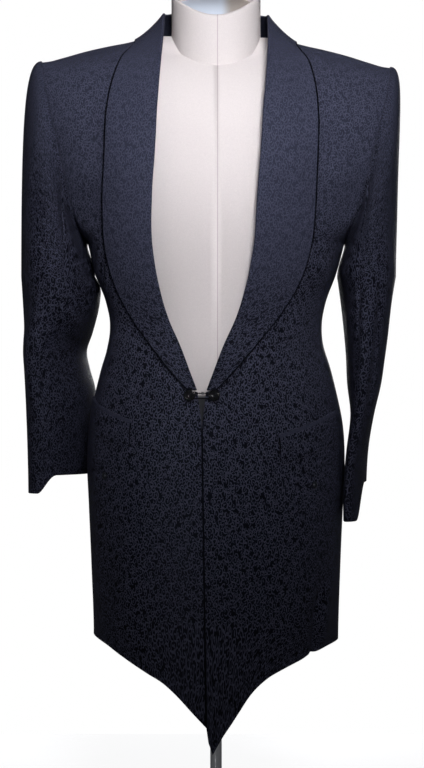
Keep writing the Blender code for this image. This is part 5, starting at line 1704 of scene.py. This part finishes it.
# %% Stand
STAND_SEGMENTS = 96
POLE_RADIUS, BASE_RADIUS, BASE_THICK, BASE_ROUND, BASE_TOP = 0.0075, 0.1500, 0.0120, 0.0030, 0.0160
HUB_RADIUS, HUB_ROUND, HUB_TOP = 0.0200, 0.0030, 0.0360
STAND = {
    "stand_pole": [
        (0, HUB_TOP + SEAM, 0),
        (POLE_RADIUS, HUB_TOP + SEAM, 0.0004),
        (POLE_RADIUS, FORM_BOTTOM - SEAM, 0.0004),
        (0, FORM_BOTTOM - SEAM, 0),
    ],
    "stand_base": [
        (0, 0, 0),
        (BASE_RADIUS, 0, BASE_ROUND),
        (BASE_RADIUS, BASE_THICK, BASE_ROUND),
        (HUB_RADIUS, BASE_TOP, 0),
        (0, BASE_TOP, 0),
    ],
    "stand_hub": [
        (0, BASE_TOP + SEAM, 0),
        (HUB_RADIUS, BASE_TOP + SEAM, 0.0006),
        (HUB_RADIUS, HUB_TOP, HUB_ROUND),
        (0, HUB_TOP, 0),
    ],
}
for node, corners in STAND.items():
    turned(node, rounded(corners), STAND_SEGMENTS, "stand_metal")
print("stand", list(STAND))

# %% [markdown]
# ## Floor and backdrop
#
# A coat for a catalogue is shot against white. The floor glows a little by itself, so it stays white
# without a lamp on it, and it doesn't show up as light or as a reflection on the coat.

# %% Stage
FLOOR_HALF, FLOOR_GLOW, FLOOR_SHADES, CLOUDINESS = 0.6, 0.8, (0.90, 0.94), 3.0
WHITE = (1, 1, 1, 1)
tree, shader = plain_material("pale_backdrop")
darker, lighter = ((shade, shade, shade, 1) for shade in FLOOR_SHADES)
dress(
    tree,
    shader,
    Base_Color=mixed(tree, noise(tree, None, CLOUDINESS, dimensions="3D")["Fac"], darker, lighter),
    Roughness=1.0,
    Specular_IOR_Level=0.0,
    Emission_Color=WHITE,
    Emission_Strength=FLOOR_GLOW,
)
floor = finish_piece(
    "pale_floor",
    [(x, y, 0.0) for y in (-FLOOR_HALF, FLOOR_HALF) for x in (-FLOOR_HALF, FLOOR_HALF)],
    [(0, 1, 3, 2)],
    "pale_backdrop",
)
floor.visible_diffuse = floor.visible_glossy = False
print("floor", 2 * FLOOR_HALF, "m wide")

# %% [markdown]
# ## Light
#
# A lamp over the camera lights the shoulders and lapels most, so the cloth grows darker towards the hem.
# Two wide ones fill in from the front's two sides and one from behind. A narrow strip in front gives only
# highlights, and the first three give none: a black cloth would show every one of them as a pale streak.

# %% Lamps
COOL, PLAIN = (0.90, 0.94, 1.0), (0.97, 0.97, 1.0)
SOFT, SHINE, BOTH = (True, False), (False, True), (True, True)
# Name, place, aim, size, spread in degrees, watts, colour, and whether it lights and whether it shines
LAMPS = (
    ("key_lamp", (0.25, -1.70, 1.55), (0.0, -0.08, 0.93), (0.8, 0.5), 34, 3.0, COOL, SOFT),
    ("left_fill", (-2.3, -2.4, 0.8), (0.0, 0.0, 0.5), (1.0, 1.4), 180, 9.0, PLAIN, SOFT),
    ("right_fill", (2.3, -2.4, 0.8), (0.0, 0.0, 0.5), (1.0, 1.4), 180, 9.0, PLAIN, SOFT),
    ("back_fill", (0.5, 3.2, 1.3), (0.0, 0.0, 0.6), (1.8, 1.4), 180, 26.0, PLAIN, BOTH),
    ("shine_lamp", (-0.6, -2.3, 0.85), (0.0, 0.0, 0.60), (0.10, 0.5), 90, 1.8, PLAIN, SHINE),
)
for name, place, aim, size, spread, power, colour, (lights, shines) in LAMPS:
    lamp = bpy.data.lights.new(name, "AREA")
    lamp.shape = "RECTANGLE"
    lamp.size, lamp.size_y = size
    lamp.spread = math.radians(spread)
    lamp.energy = power
    lamp.color = colour
    made = bpy.data.objects.new(name, lamp)
    made.location = place
    made.rotation_euler = (Vector(aim) - Vector(place)).to_track_quat("-Z", "Y").to_euler()
    made.visible_diffuse, made.visible_glossy = lights, shines
    scene.collection.objects.link(made)
print("lamps", [row[0] for row in LAMPS])

# %% [markdown]
# The room's own light is faint. Where nothing stands in the way the picture shows plain white, which a
# mix of two backgrounds gives: one for what the lens sees and one for what lights the coat.

# %% World
AROUND, AROUND_STRENGTH = (0.90, 0.93, 1.0, 1), 0.05
world = bpy.data.worlds.new("studio")
world.use_nodes = True
tree = world.node_tree
around, seen = tree.nodes["Background"], add_node(tree, "ShaderNodeBackground")
dress(tree, around, Color=AROUND, Strength=AROUND_STRENGTH)
dress(tree, seen, Color=WHITE, Strength=1.0)
rays = add_node(tree, "ShaderNodeLightPath").outputs["Is Camera Ray"]
either = add_node(tree, "ShaderNodeMixShader", {0: rays, 1: around.outputs[0], 2: seen.outputs[0]})
feed(tree, tree.nodes["World Output"].inputs["Surface"], either.outputs[0])
scene.world = world
scene.view_settings.view_transform = "Standard"
print("world", world.name)
